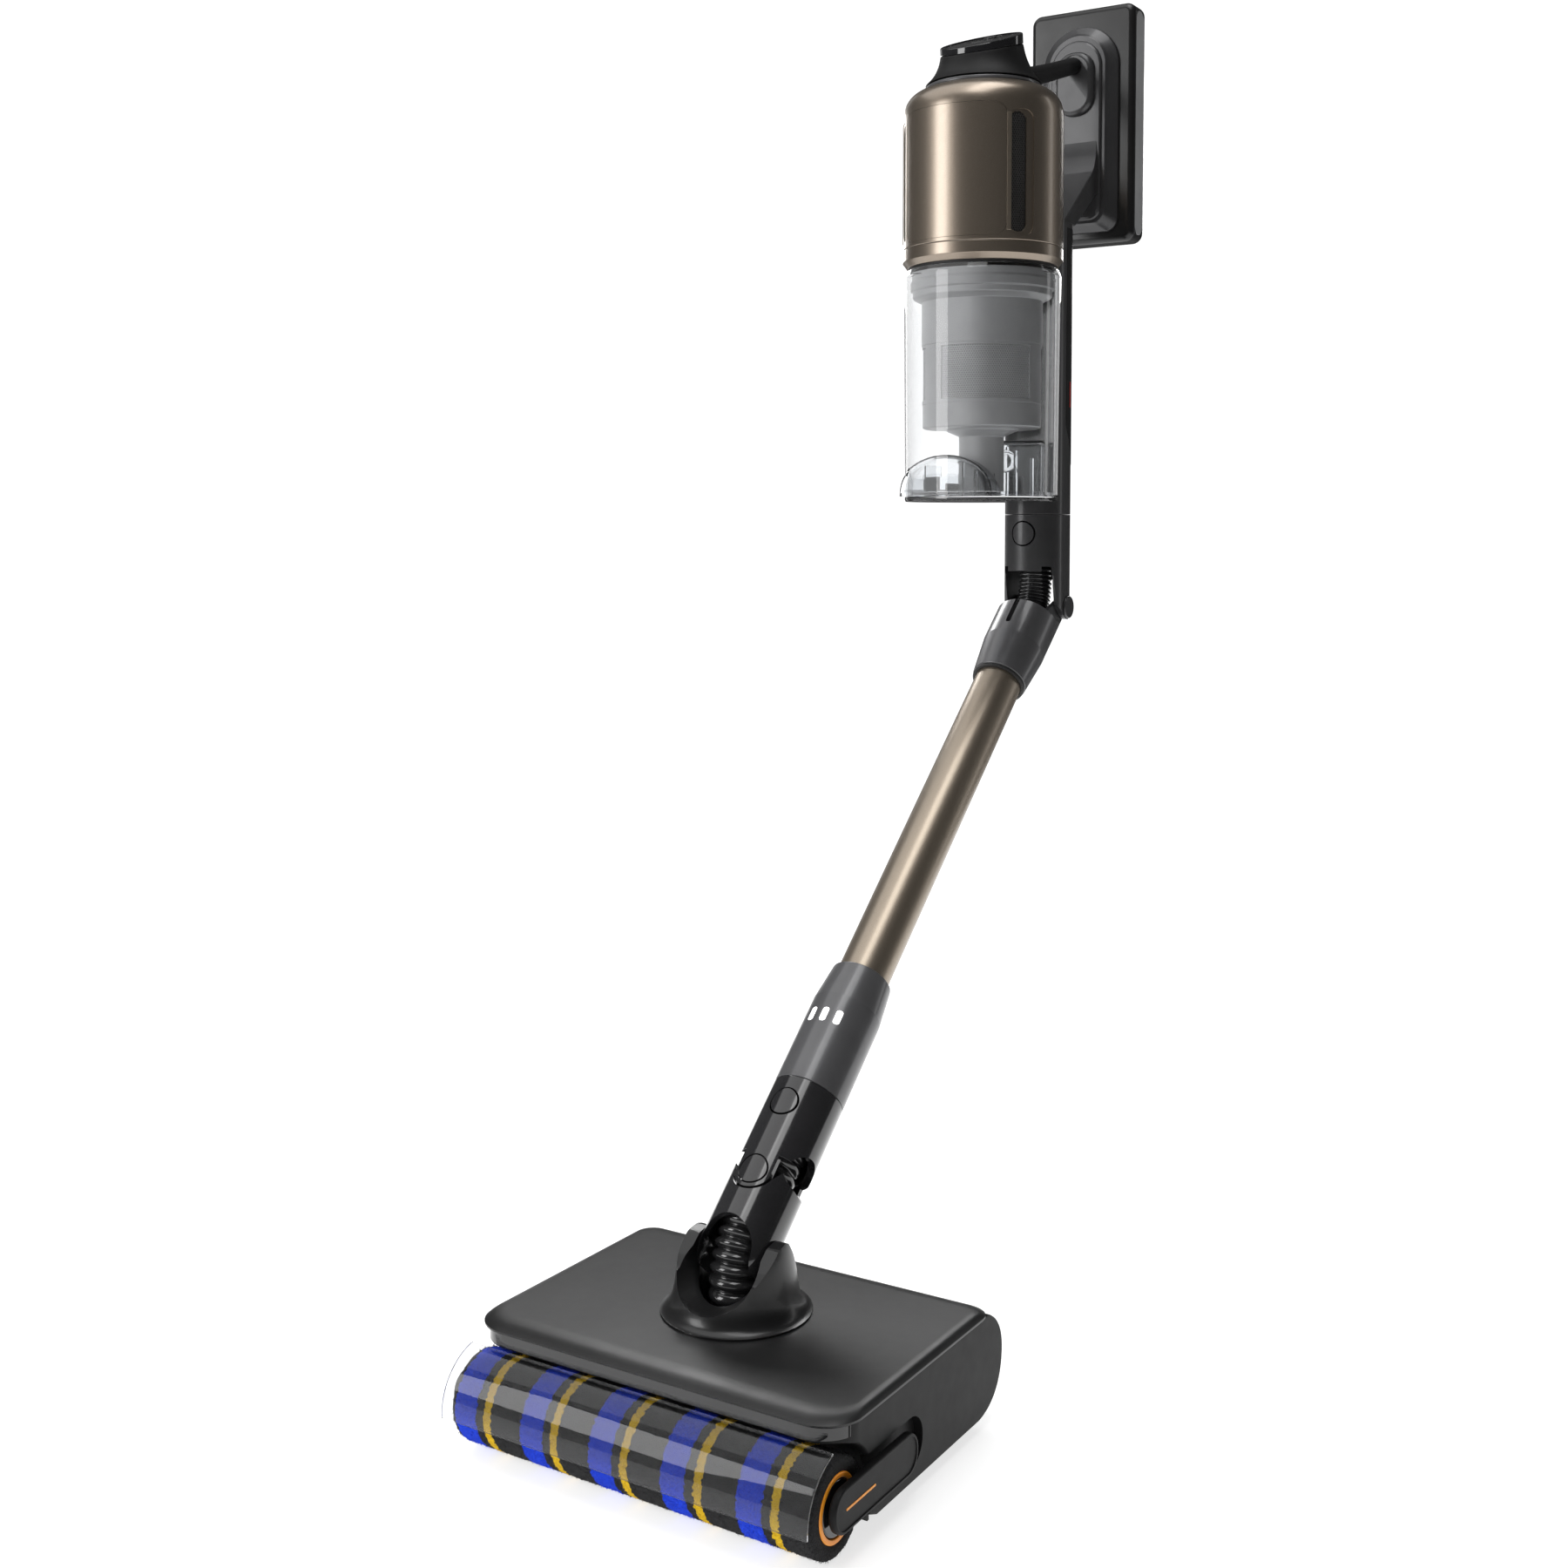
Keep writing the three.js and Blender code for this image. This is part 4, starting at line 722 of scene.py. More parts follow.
def build_hoses():
    ribbed("neck_hose", [(NECK_Y - 1, 76), (NECK_Y - 3, NECK_Z), on_wand(STEER_W - 28)], 17.5, 8, 3.6,
           "neck_bellows")
    ribbed("steer_hose", [on_wand(STEER_W - 26), on_wand(STEER_W), on_wand(STEER_W + 30)], 16.5, 7, 2.4,
           "steer_bellows")
    top = near((FOLD.y - ROLLER.y) * 1000 + GRIP_FRONT + 1.5, FOLD.z * 1000, (-3, -14), (0, 8), (0, 46))
    ribbed("fold_hose", [on_wand(COLLAR_EDGE_W + 12), *top], 13.6, 25, 1.8,
           "fold_bellows")


# ---------------------------------------------------------------- wand
def build_sleeve():
    """Neck sleeve: forked at its foot around the bellows, notched at its top for the steering tongues."""
    sleeve = ring(LINK_R, LINK_BORE, -LINK_R, JOIN_W, 0.5, 192)
    keep(sleeve, lathe([(0, -LINK_R), *arc(0, 0, LINK_R, -89, 0, 24), (LINK_R, 100), (0, 100)], 192))
    reach = TONGUE_R + 0.9
    sin, cos = math.sin(STEER_SWING), math.cos(STEER_SWING)
    flank = [(reach * cos + 12 * sin, -reach * sin + 12 * cos), (LINK_R - 5, 2), (LINK_R, -1), (40, -1),
             (40, 60)]
    notch = arc(0, 0, reach, 205, 335, 28) + flank + [(-x, z) for x, z in reversed(flank)]
    half = 19.5
    fork = [*arc(0, -5, half, 0, 180, 36), (-half, -60), (half, -60)]
    cut(sleeve, prism(near(0, STEER_W, *notch), -40, 40, 0, FORWARD), prism(fork, -60, 60, 0, FORWARD))
    finished(sleeve, "neck_tube", LINK, "neck", "neck_sleeve", bevel=0.45)
    lug = rectangle(-9, 9, STEER_W - 24, STEER_W + 9, 8.6)
    lugs = [prism(lug, *ends, 0.4, FORWARD) for ends in ((-17.5, -12), (12, 17.5))]
    finished(together(*lugs), "steer_lugs", RUBBER, "neck")
    cap = keep(stud(9.6, STEER_W, -26, -17.8, 0.3), disc(LINK_R + 0.1, 0, 100, 0, sides=192))
    finished(cap, "steer_cap", LINK, "neck", "steer_pivot_cap", bevel=0.3)


def build_connector():
    """Lower end of the wand: two round tongues that turn in the neck sleeve's notches, and the button."""
    skirt = ring(LINK_R, 19.5, JOIN_W, SEAM_W, 0.4, 192)
    side_arch = [*arc(0, JOIN_W - 6, 17, 0, 180, 30), (-17, JOIN_W - 40), (17, JOIN_W - 40)]
    cut(skirt, prism(side_arch, -60, 60, 0, SIDEWAYS))
    tip = TONGUE_R - 0.7
    outline = [*arc(0, STEER_W, tip, 180, 360, 40), (tip, JOIN_W + 8), (-tip, JOIN_W + 8)]
    ends = (-30, -TONGUE_FLAT), (TONGUE_FLAT, 30)
    tongues = together(*[prism(outline, y0, y1, 0, FORWARD) for y0, y1 in ends])
    keep(tongues, disc(LINK_R, 20, 90, 0, sides=192))
    body = boolean(skirt, [tongues], "UNION")
    cut(body, stud(10.7, STEER_W, -40, 0), stud(10.5, HEAD_BUTTON_W, -40, -10))
    finished(body, "link_tube", LINK, "lower_wand", "head_connector", bevel=0.35)
    button = keep(stud(9.3, HEAD_BUTTON_W, -40, -18), disc(LINK_R + 0.45, 0, 200, 0, sides=192))
    finished(button, "head_button", LINK, "head_button", "head_release_button", bevel=0.6)


def build_wand_body():
    """Grey body with three lit windows, the bronze tube in it and the steel tube that slides in that."""
    profile = [(19.5, SEAM_W + 0.3), (LINK_R, SEAM_W + 0.3), (LINK_R, BODY_EDGE_W),
               (MOUTH_R, BODY_TOP_W - 1), (MOUTH_R - 1, BODY_TOP_W), (TUBE_R + 0.15, BODY_TOP_W),
               (TUBE_R + 0.15, BODY_EDGE_W), (19.5, BODY_EDGE_W)]
    body = lathe(rounded(profile, [0.3, 0.4, 0.8, 0.5, 0.4, 0.2, 0, 0], 3), 192)
    finished(body, "wand_sleeve", GUNMETAL, "lower_wand", "wand_body", sharp=20)
    window = rectangle(-2.4, 2.4, LED_W - 5.4, LED_W + 5.4, 1.9, 5)
    windows = [prism(window, -LINK_R - 2, -20, 0, spin(angle) @ FORWARD) for angle in (-24, 0, 24)]
    lights = keep(together(*windows), disc(LINK_R + 0.07, 100, 200, 0, sides=192))
    finished(lights, "led_windows", WHITE, "lower_wand", "status_light", sharp=40)
    tube = ring(TUBE_R, TUBE_R - 1.2, BODY_EDGE_W + 5, 522, 0.3, 192)
    finished(tube, "wand_tube", BRONZE_TUBE, "lower_wand", "bronze_tube")
    inner = ring(TUBE_R - 1.6, TUBE_R - 2.8, 330, COLLAR_EDGE_W + 8, 0.3, 128)
    finished(inner, "slide_tube", STEEL, "upper_wand", "inner_tube")


def build_collar():
    """Socket at the wand's top: flared mouth, sloping rim, short slot, two fold ears and the length button."""
    outer, low, high = LINK_R + 0.4, COLLAR_EDGE_W, COLLAR_RIM_W + 17
    profile = [(TUBE_R + 0.5, MOUTH_W), (MOUTH_R, MOUTH_W), (outer, low), (outer, high),
               (LINK_BORE + 1.2, high), (LINK_BORE + 1.2, low + 9), (TUBE_R + 0.5, low + 9)]
    collar = lathe(rounded(profile, [0.2, 0.8, 1.2, 0.2, 0.2, 0, 0], 4), 192)
    slope = [*near(0, COLLAR_RIM_W, (-60, -8), (-26, 0), (0, 2), (14, 12), (60, 14)), (60, 680), (-60, 680)]
    slope = prism(rounded(slope, [0, 2, 4, 4, 0, 0, 0]), -60, 60, 0, SIDEWAYS)
    slot = prism(rectangle(-2.1, 2.1, COLLAR_RIM_W - 26, COLLAR_RIM_W + 12, 1.6, 4), -40, -21.5, 0, FORWARD)
    hole = rectangle(-4.3, 4.3, LENGTH_BUTTON_W - 7.3, LENGTH_BUTTON_W + 7.3, 3)
    cut(collar, slope, slot, prism(hole, LINK_BORE, 40, 0, FORWARD))
    finished(collar, "fold_socket", GUNMETAL, "upper_wand", "fold_collar", sharp=20)
    outline = [*arc(FOLD_BACK, FOLD_W, 9.5, -34, 137, 28), (-12, COLLAR_RIM_W - 3), (-12, low + 12),
               (16, low + 12)]
    ears = [prism(outline, x - 1.8, x + 1.8, 0.4, SIDEWAYS) for x in (-18.4, 18.4)]
    finished(together(*ears), "fold_ears", DARKMETAL, "upper_wand")
    outline = rectangle(-4, 4, LENGTH_BUTTON_W - 7, LENGTH_BUTTON_W + 7, 2.8)
    button = prism(outline, LINK_BORE + 1, LINK_R + 2, 0.7, FORWARD)
    finished(button, "length_button", GLOSS, "extension_button", "extension_button")
    seal = ring(MOUTH_R - 0.6, TUBE_R + 0.15, MOUTH_W - 2.6, MOUTH_W - 0.1, 0.5)
    finished(seal, "mouth_seal", RUBBER, "upper_wand", "collar_seal")


# ---------------------------------------------------------------- handheld unit
def grip_outline(radius, front=GRIP_FRONT, rear=GRIP_REAR, steps=48):
    return arc(0, rear, radius, 0, 180, steps) + arc(0, front, radius, 180, 360, steps)


def build_grip():
    """Upper connector: two side walls round the fold, an arch over the hose and a round button."""
    shell = prism(grip_outline(GRIP_R), -12, SPINE_LOW, 0.35)
    bore = prism(grip_outline(GRIP_R - 4), -20, SPINE_LOW + 20, 0)
    under = [(-60, -60), (-60, 34), (-30, 30), (-22, 29), (-21, 18), (-18, 2), (-8, -7),
             *arc(0, 0, 10, 225, 338, 20), (26, 10), (60, 14), (60, -60)]
    away = prism(rounded(under, [0, 0, 0, 5, 5, 4, 2] + [0] * 21 + [3, 0, 0], 5), -60, 60, 0, SIDEWAYS)
    ear_room = block(-20.9, 20.9, -30, 13, -20, 34)
    rear_mouth = prism(rectangle(-19.5, 19.5, -30, 22, 8), 4, 60, 0, FORWARD)
    arch = prism(rectangle(-20.9, 20.9, -30, 30, 9, 12), -60, -8, 0, FORWARD)
    cut(shell, bore, away, ear_room, rear_mouth, arch, stud(10.5, HAND_BUTTON_Z, -60, -20))
    finished(shell, "grip_link", DARKMETAL, "handheld", "upper_connector", bevel=0.4)
    button = keep(stud(9.3, HAND_BUTTON_Z, -60, -24), prism(grip_outline(GRIP_R + 0.45), 30, 100, 0))
    finished(button, "hand_button", DARKMETAL, "handheld_button", "handheld_release_button",
             bevel=0.6)
    outline = [(0, 15.5), (5, 15.5), (5, GRIP_R + 0.1), (9.2, GRIP_R + 0.1), (9.2, 27), (0, 27)]
    profile = rounded(outline, [0, 0.3, 0, 0.2, 1.2, 0], 4)
    for side, name in SIDES:
        pin = lathe(profile, 96, spin(90 * side, "Y"))
        finished(pin, f"pivot_cap_{name}", DARKMETAL, "handheld", f"fold_pin_{name}")


def build_spine():
    """Column behind the bin, bridged to the barrel. The cover's lower end runs down and back in one curve."""
    low, high = SPINE_LOW + 0.3, SPINE_TOP
    spine = prism(grip_outline(GRIP_R), low, high, 0.35)
    bridge = block(-20, 20, -52, GRIP_FRONT - 15, BARREL_LOW + 26, high - 2, 0.6)
    cut(bridge, disc(BARREL_R + 0.6, 0, 500, 0, at(0, BIN_Y), 192))
    finished(together(spine, bridge), "spine_column", DARKMETAL, "handheld", "spine_duct")
    cover = prism(grip_outline(GRIP_R + 0.25), 118, high - 5, 0.3)
    ahead = [(-60, 60), (8, 60), *bezier([(8, 118), (2, 136), (-6, 150)], 14), (-6, high + 20),
             (-60, high + 20)]
    cut(cover, prism(ahead, -60, 60, 0, SIDEWAYS))
    finished(cover, "spine_shell", MATTE, "handheld", "spine_cover", bevel=0.3)
    line = prism(rectangle(0.6, 1.8, 165, 186, 0.5, 4), GRIP_R - 1, GRIP_R + 0.45, 0.1, SIDEWAYS)
    finished(line, "accent_line", RED, "handheld")


def honeycomb(width, height, pitch, wall, bend):
    """A sheet with hexagonal holes, facing -y and bent round a cylinder of radius bend about z."""
    points, faces = [], []
    rise = pitch * math.sqrt(3) / 2
    outer = pitch / math.sqrt(3)
    angles = np.radians(30 + 60 * np.arange(6))
    for row in range(int(height / rise)):
        z = -height / 2 + rise * (row + 0.5)
        shift = pitch / 2 if row % 2 else 0
        for column in range(int((width - shift) / pitch)):
            x = -width / 2 + pitch * (column + 0.5) + shift
            first = len(points)
            for size, depth in ((outer, 0), (outer - wall, 0), (outer - wall, 0.7)):
                for a in angles:
                    u, v = x + size * math.cos(a), z + size * math.sin(a)
                    r = bend - depth
                    points.append((r * math.sin(u / bend), -r * math.cos(u / bend), v))
            for k in range(6):
                m = (k + 1) % 6
                faces.append((first + k, first + m, first + 6 + m, first + 6 + k))
                faces.append((first + 6 + k, first + 6 + m, first + 12 + m, first + 12 + k))
    return linked("comb", plain(points, faces))


def build_bin():
    """Clear cup with a rounded shoulder, and its hinged floor with a dark gasket."""
    axis = at(0, BIN_Y)
    low = BIN_LOW + 4.3
    cup = near(BIN_R, low, (-2.4, 0), (-0.6, 0))
    cup += near(BIN_R, BIN_TOP, (0.7, -5), (-1.4, 0), (-3.4, 0), (-1.4, -6))
    cup = lathe(rounded(cup, [0.4, 0.6, 3.5, 1.2, 0.5, 3], 6), 224, axis)
    finished(cup, "bin_cup", CLEAR, "handheld", "dust_bin", sharp=40)
    lip = [(0, BIN_LOW), *near(BIN_R, BIN_LOW, (-1, 0), (-0.4, 1.4), (-0.4, 3.6)), (0, BIN_LOW + 3.6)]
    lip = lathe(rounded(lip, [0, 0.6, 0.5, 0.5, 0], 3), 192, axis)
    finished(lip, "bin_floor", GLASSY, "bin_lid", "bin_lid", sharp=40)
    gasket = ring(BIN_R - 0.9, BIN_R - 6, BIN_LOW + 1.2, BIN_LOW + 2.6, 0.3, place=axis)
    finished(gasket, "bin_gasket", LID, "bin_lid")
    rim = ring(BIN_R - 3.6, BIN_R - 6, BIN_LOW + 3.4, BIN_LOW + 7, 0.4, place=axis)
    finished(rim, "bin_spigot", GLASSY, "bin_lid")
    latch = prism(rectangle(-8, 8, BIN_LOW + 5, BIN_LOW + 22, 3), -50.3, -47.6, 0.5, FORWARD)
    finished(latch, "lid_latch", DARKMETAL, "bin_latch", "bin_lid_latch")


def build_hood(floor):
    """A clear arched cover with a flat front and a rounded back, open below."""
    half, height, reach, wall = 37, 32, 17, 1.6
    outline = [(half * math.cos(t), height * math.sin(t) ** 0.85) for t in np.linspace(0, math.pi, 40)]
    inner = [(x * (1 - wall / half), z * (1 - wall / height) - 0.5) for x, z in outline]
    hood = prism(outline, -reach, reach, 5.0, FORWARD, 6)
    cut(hood, prism(inner, -reach + wall, reach - wall, 4.0, FORWARD, 5))
    hood.data.transform(at(-16, BIN_Y - 22, floor) @ spin(10))
    return hood


def build_bin_mouldings():
    """Clear ribs, an arched hood and the inlet's clear tower inside the dust bin."""
    floor = BIN_LOW + 3.8
    hood = build_hood(floor)
    ribs = [block(x - 0.5, x + 0.5, BIN_Y - 36, BIN_Y - 10, floor, floor + tall, 0.2)
            for x, tall in ((-44, 14), (-30, 24), (-12, 10), (2, 26), (12, 20))]
    ribs += [block(-46, 16, BIN_Y + y, BIN_Y + y + 1, floor, floor + tall, 0.2)
             for y, tall in ((-38, 15), (-10, 18))]
    finished(together(hood, *ribs), "bin_hood", GLASSY, "handheld", sharp=35)
    tower = prism(rectangle(-19, 19, -14, 14, 7), floor, floor + 44, 3)
    cut(tower, prism(rectangle(-17.2, 17.2, -12.2, 12.2, 5.5), floor - 5, floor + 42, 3))
    tower.data.transform(at(22, BIN_Y + 28) @ spin(25))
    ball = lathe([(0, -9), *arc(0, 0, 9, -89, 89, 20), (0, 9)], 48, at(13, BIN_Y + 16, floor + 28))
    posts = [prism(rectangle(x - 1.6, x + 1.6, BIN_Y + y - 1.6, BIN_Y + y + 1.6, 1), floor, floor + tall, 0.5)
             for x, y, tall in ((24, 12, 36), (34, 20, 30), (8, 30, 40))]
    finished(together(tower, ball, *posts), "bin_tower", GLASSY, "handheld", "bin_inlet_duct", sharp=35)


def build_cyclone():
    """Stepped shroud, a band of fine steel mesh held by a frame with three posts, and the dust cone."""
    axis = at(0, BIN_Y)
    shroud = [(43, 206.5), (46.9, 206.5), (46.9, 240), (54, 243.4), (54, 248), (55.6, 249), (55.6, 255),
              (54.6, 257), (54.6, 262), (48, 262), (48, 250), (43, 244)]
    shroud = lathe(rounded(shroud, [0.3, 0.4, 1, 1.5, 0.8, 0.8, 0.8, 0.6, 0.8, 0, 0, 0], 4), 192, axis)
    finished(shroud, "shroud", CYCLONE, "handheld", "cyclone_shroud", sharp=30)
    comb = honeycomb(2 * math.pi * MESH_R * 0.998, MESH_HIGH - MESH_LOW, 1.85, 0.30, MESH_R)
    comb.data.transform(axis @ at(0, 0, (MESH_LOW + MESH_HIGH) / 2))
    finished(comb, "mesh_band", MESH, "handheld", "cyclone_mesh", sharp=30)
    core = ring(44.3, 42, MESH_LOW, MESH_HIGH + 0.5, 0.2, place=axis)
    finished(core, "mesh_core", CYCLONE, "handheld")
    frames = [ring(46.4, 44, low, high, 0.3, place=axis) for low, high in ((161, 164), (204.4, 206.6))]
    for angle in (-29, 91, 211):
        post = keep(ring(46.3, 44, 162, 206, 0.2), prism(rectangle(-11, 11, 160, 208), -60, -30, 0, FORWARD))
        post.data.transform(axis @ spin(angle))
        frames.append(post)
    finished(together(*frames), "mesh_frame", CYCLONE, "handheld")
    cone = [(43, 161.5), (45.9, 161.5), (45.9, 143.4), (44.5, 142.6), (29, 142.2), (28, 141), (17.5, 136.6),
            (17.5, 93.6), (15.5, 93.6), (15.5, 138), (26, 145), (43, 147)]
    cone = lathe(rounded(cone, [0.2, 0.4, 0.9, 0.5, 0.5, 1, 1.5, 0.4, 0.3, 0, 0, 0], 4), 160, axis)
    finished(cone, "dust_cone", CYCLONE, "handheld", "cyclone_cone", sharp=30)


def build_barrel():
    """Bronze barrel on its ring: a let-in front panel, two grilles beside bright strips, and rear slots."""
    axis = at(0, BIN_Y)
    bevel_top = BARREL_LOW + 13.5
    low = bevel_top + 0.3
    trim = near(BARREL_R, BARREL_LOW, (-6, 0), (-3.4, 0), (0, 4.6), (0, 13.5), (-BARREL_WALL, 13.5), (-6, 4))
    finished(lathe(rounded(trim, [0.3, 1.2, 1.2, 0.5, 0, 0], 5), 256, axis), "lower_ring", BRONZE, "handheld",
             "bin_ring", sharp=25)
    gap = ring(BARREL_R - 4.6, BARREL_R - 9, BIN_TOP - 0.6, BARREL_LOW + 0.2, 0.2, place=axis)
    finished(gap, "bin_joint", RUBBER, "handheld")
    profile = near(BARREL_R, low, (-BARREL_WALL, 0), (-0.4, 0), (0, 0.5)) + [(BARREL_R, BARREL_EDGE - 3)]
    outside = near(BARREL_R, BARREL_EDGE, (0, -3), (0, 11), (-7, 17)) + near(BARREL_R, BARREL_TOP, (-17, -0.4))
    profile += bezier(outside, 24)[1:] + near(BARREL_R, BARREL_TOP, (-18.6, -0.6), (-19, -4))
    inside = near(BARREL_R, BARREL_EDGE, (-10, 13), (-BARREL_WALL, 6), (-BARREL_WALL, -6))
    profile += bezier([(BARREL_R - 19, BARREL_TOP - 4), *inside], 16)[1:]
    shell = lathe(profile, 256, axis)

    def window(outline, reach, angle=0):
        return prism(outline, -90, reach, 0, axis @ spin(angle) @ FORWARD)

    def patch(outline, outer, inner, reach, angle=0, sides=256):
        """The part of the wall behind an outline, between two distances from its surface."""
        wall = ring(BARREL_R + outer, BARREL_R + inner, low, 400, 0, sides, axis)
        return keep(wall, window(outline, reach, angle))

    def panel_outline(fit, radius):
        return rectangle(-PANEL_HALF + fit, PANEL_HALF - fit, low + 3 + fit, BARREL_EDGE - 1 - fit, radius)

    cut(shell, patch(panel_outline(0, 9), 5, -1.3, -20))
    frames, vents = [], []
    for side, _ in SIDES:
        frame_x = sorted((-8 * side, 13.2 * side))
        frames.append(patch(rectangle(*frame_x, low + 4, BARREL_EDGE - 6, 7.6), 5, -0.7, -30, side * VENT_TURN))
        vent = rectangle(-VENT_HALF, VENT_HALF, low + 6, BARREL_EDGE - 8, 6.4)
        vents.append(window(vent, -40, side * VENT_TURN))
    slots = [block(-16, 16, BIN_Y + 40, BIN_Y + 90, low + 46 + i * 9, low + 50 + i * 9) for i in range(5)]
    cut(shell, *frames, *vents, *slots)
    finished(shell, "barrel_shell", BRONZE, "handheld", "motor_barrel", sharp=26, bevel=0.45)
    panel = patch(panel_outline(0.22, 8.8), 0, -1.1, -20)
    finished(panel, "barrel_panel", BRONZE, "handheld", "barrel_front_panel", sharp=26, bevel=0.3)
    for side, name in SIDES:
        comb = honeycomb(2 * VENT_HALF - 0.4, BARREL_EDGE - low - 15, 1.9, 0.34, BARREL_R - 1.7)
        comb.data.transform(axis @ spin(side * VENT_TURN) @ at(0, 0, (low + 6 + BARREL_EDGE - 8) / 2))
        finished(comb, f"grille_{name}", GRILLE, "handheld", f"vent_grille_{name}", sharp=30)
        backing = patch(rectangle(-9, 9, low + 5, BARREL_EDGE - 7, 7), -2.6, -3.4, -40, side * VENT_TURN, 192)
        finished(backing, f"grille_back_{name}", RUBBER, "handheld")
        strip = keep(ring(BARREL_R + 0.15, BARREL_R - 1.6, low + 7, BARREL_EDGE - 9, 0.3, 192, axis),
                     window(rectangle(-1.7, 1.7, low, 400), -40, side * STRIP_TURN))
        finished(strip, f"vent_strip_{name}", BRONZE_TUBE, "handheld", bevel=0.3)
    trim = near(0, BARREL_TOP, (38, -0.4), (45.2, -0.3), (44.6, 2.6), (38, 3.6))
    trim = lathe(rounded(trim, [0, 0.8, 1, 0], 4), 192, axis)
    finished(trim, "neck_trim", GUNMETAL, "handheld", "barrel_trim_ring", sharp=40)


def neck_loop(t, radius, sides=160):
    """A ring of the leaning top: t runs from the barrel's top (0) to the tilted disc (1)."""
    tilt = DISC_TILT * t
    z = BARREL_TOP + 4 + (DISC_Z - BARREL_TOP - 4) * t
    a = np.linspace(0, 2 * math.pi, sides, endpoint=False)
    x, y = radius * np.cos(a), radius * np.sin(a)
    return np.stack([x, BIN_Y - 4 * t + y * math.cos(tilt), z + y * math.sin(tilt)], 1)


def build_top():
    """Waisted neck, tilted display disc and the round bar that reaches back to the handle."""
    neck = skin([neck_loop(t, DISC_R + 13 * (1 - t) ** 2.4) for t in np.linspace(-0.02, 0.79, 22)])
    path = bezier([(BIN_Y + 20, 414), (BIN_Y + 66, 424), (COLUMN_Y - 4, BAR_Z)], 60)
    bar = sweep(path, [7.1 + 12 * (1 - t) ** 4 + 1.2 * (1 - t) for t in np.linspace(0, 1, 61)], 64)
    body = moulded(together(neck, bar), 0.9, 8)
    cut(body, block(-100, 100, -250, 60, 300, BARREL_TOP + 3.4))
    finished(body, "top_moulding", MATTE, "handheld", "top_neck", sharp=60)

    loops = [(0.79, -0.1), (0.8, 0.25), (0.97, 0.3), (0.99, 0.1), (1.0, -0.5)]
    band = skin([neck_loop(t, DISC_R + grow) for t, grow in loops])
    tilted = at(0, BIN_Y - 4, DISC_Z) @ Matrix.Rotation(DISC_TILT, 4, "X")
    cut(band, disc(28.6, -1.4, 5, 0, tilted, 128), disc(5.5, -10, 5, 0, tilted @ at(0, 17), 64))
    finished(band, "display_ring", GLOSS, "handheld", "display_bezel", sharp=35, bevel=0.25)
    face = disc(28.3, -1.5, -0.9, 0.2, tilted, 128)
    finished(face, "display_face", DARKMETAL, "handheld")
    glass = prism(rectangle(-17, 17, 3, 24, 8), -1.0, -0.7, 0.1, tilted)
    finished(glass, "display_glass", GLOSS, "handheld")
    button = disc(5.1, -4.6, 0.2, 0.5, tilted @ at(0, 17), 64)
    finished(button, "power_key", DARKMETAL, "power_button", "power_button")


def arch_outline(half, low, high, corner=11):
    return [*arc(0, high - half, half, 0, 180, 48), *arc(-half + corner, low + corner, corner, 180, 270, 10),
            *arc(half - corner, low + corner, corner, 270, 360, 10)]


def stepped(*levels):
    """A stack of arched outlines, each given as its y, half width, foot and top."""
    return skin([[(x, y, z) for x, z in arch_outline(half, low, high)] for y, half, low, high in levels])


def build_handle():
    """Arched dock with a stepped boss, the palm column, and the strut that comes up from the spine."""
    back = SLAB_FRONT - 0.3
    dock = stepped((back, 34.6, 319, 494), (back - 2, 34.4, 319.3, 493.8), (back - 3, 33.6, 320, 493),
                   (back - 7, 28.2, 324, 487.6), (back - 9, 26.8, 325, 486.2), (back - 10, 25.6, 326, 485))
    column = stepped((back - 8, 23.6, 327, 482), (COLUMN_Y + 1, 22.6, 329, 480), (COLUMN_Y, 21.4, 331, 478.6))
    arm = [*bezier([(COLUMN_Y + 0.5, 400), (COLUMN_Y - 1, 376), (COLUMN_Y - 10, 366)], 12),
           *near(GRIP_REAR, SPINE_TOP, (-1, 2), (-1, 0.3), (22, 0.3)),
           *bezier([(back - 12, 350), (back - 3, 358), (back - 3, 372)], 8), (back - 3, 400)]
    strut = prism(arm, -20.5, 20.5, 1.2, SIDEWAYS)
    palm = prism(rectangle(-17.5, 17.5, 416.5, 470.5, 16.5, 14), COLUMN_Y - 5.5, COLUMN_Y + 4, 4.5, FORWARD, 8)
    cut(palm, stud(8.6, BAR_Z, 30, COLUMN_Y - 4.6, 0, 64))
    frame_shape = together(dock, column, strut, palm)
    finished(frame_shape, "grip_frame", DARKMETAL, "handheld", "handle_frame", sharp=24)


def build_battery():
    """Slab with a light strip let into each long side."""
    outline = rectangle(-SLAB_HALF, SLAB_HALF, SLAB_LOW, SLAB_HIGH, 9, 10)
    slab = prism(outline, SLAB_FRONT, SLAB_BACK, 5.5, FORWARD, 8)
    y0, y1 = SLAB_FRONT + 5, SLAB_BACK - 5
    groove = rectangle(y0 - 0.4, y1 + 0.4, SLAB_LOW + 5.6, SLAB_HIGH - 5.6, 8.6, 14)
    cut(slab, *[prism(groove, x - 1, x + 1, 0, SIDEWAYS) for x in (SLAB_HALF, -SLAB_HALF)])
    finished(slab, "battery_shell", SLAB, "battery", ("battery_case", "battery_back"), sharp=30)
    strip = rectangle(y0, y1, SLAB_LOW + 6, SLAB_HIGH - 6, 8.4, 14)
    inlays = [prism(strip, *sorted((side * (SLAB_HALF - 1.2), side * (SLAB_HALF - 0.15))), 0.3, SIDEWAYS)
              for side in (1, -1)]
    finished(together(*inlays), "battery_stripe", INLAY, "battery", "battery_inlay")


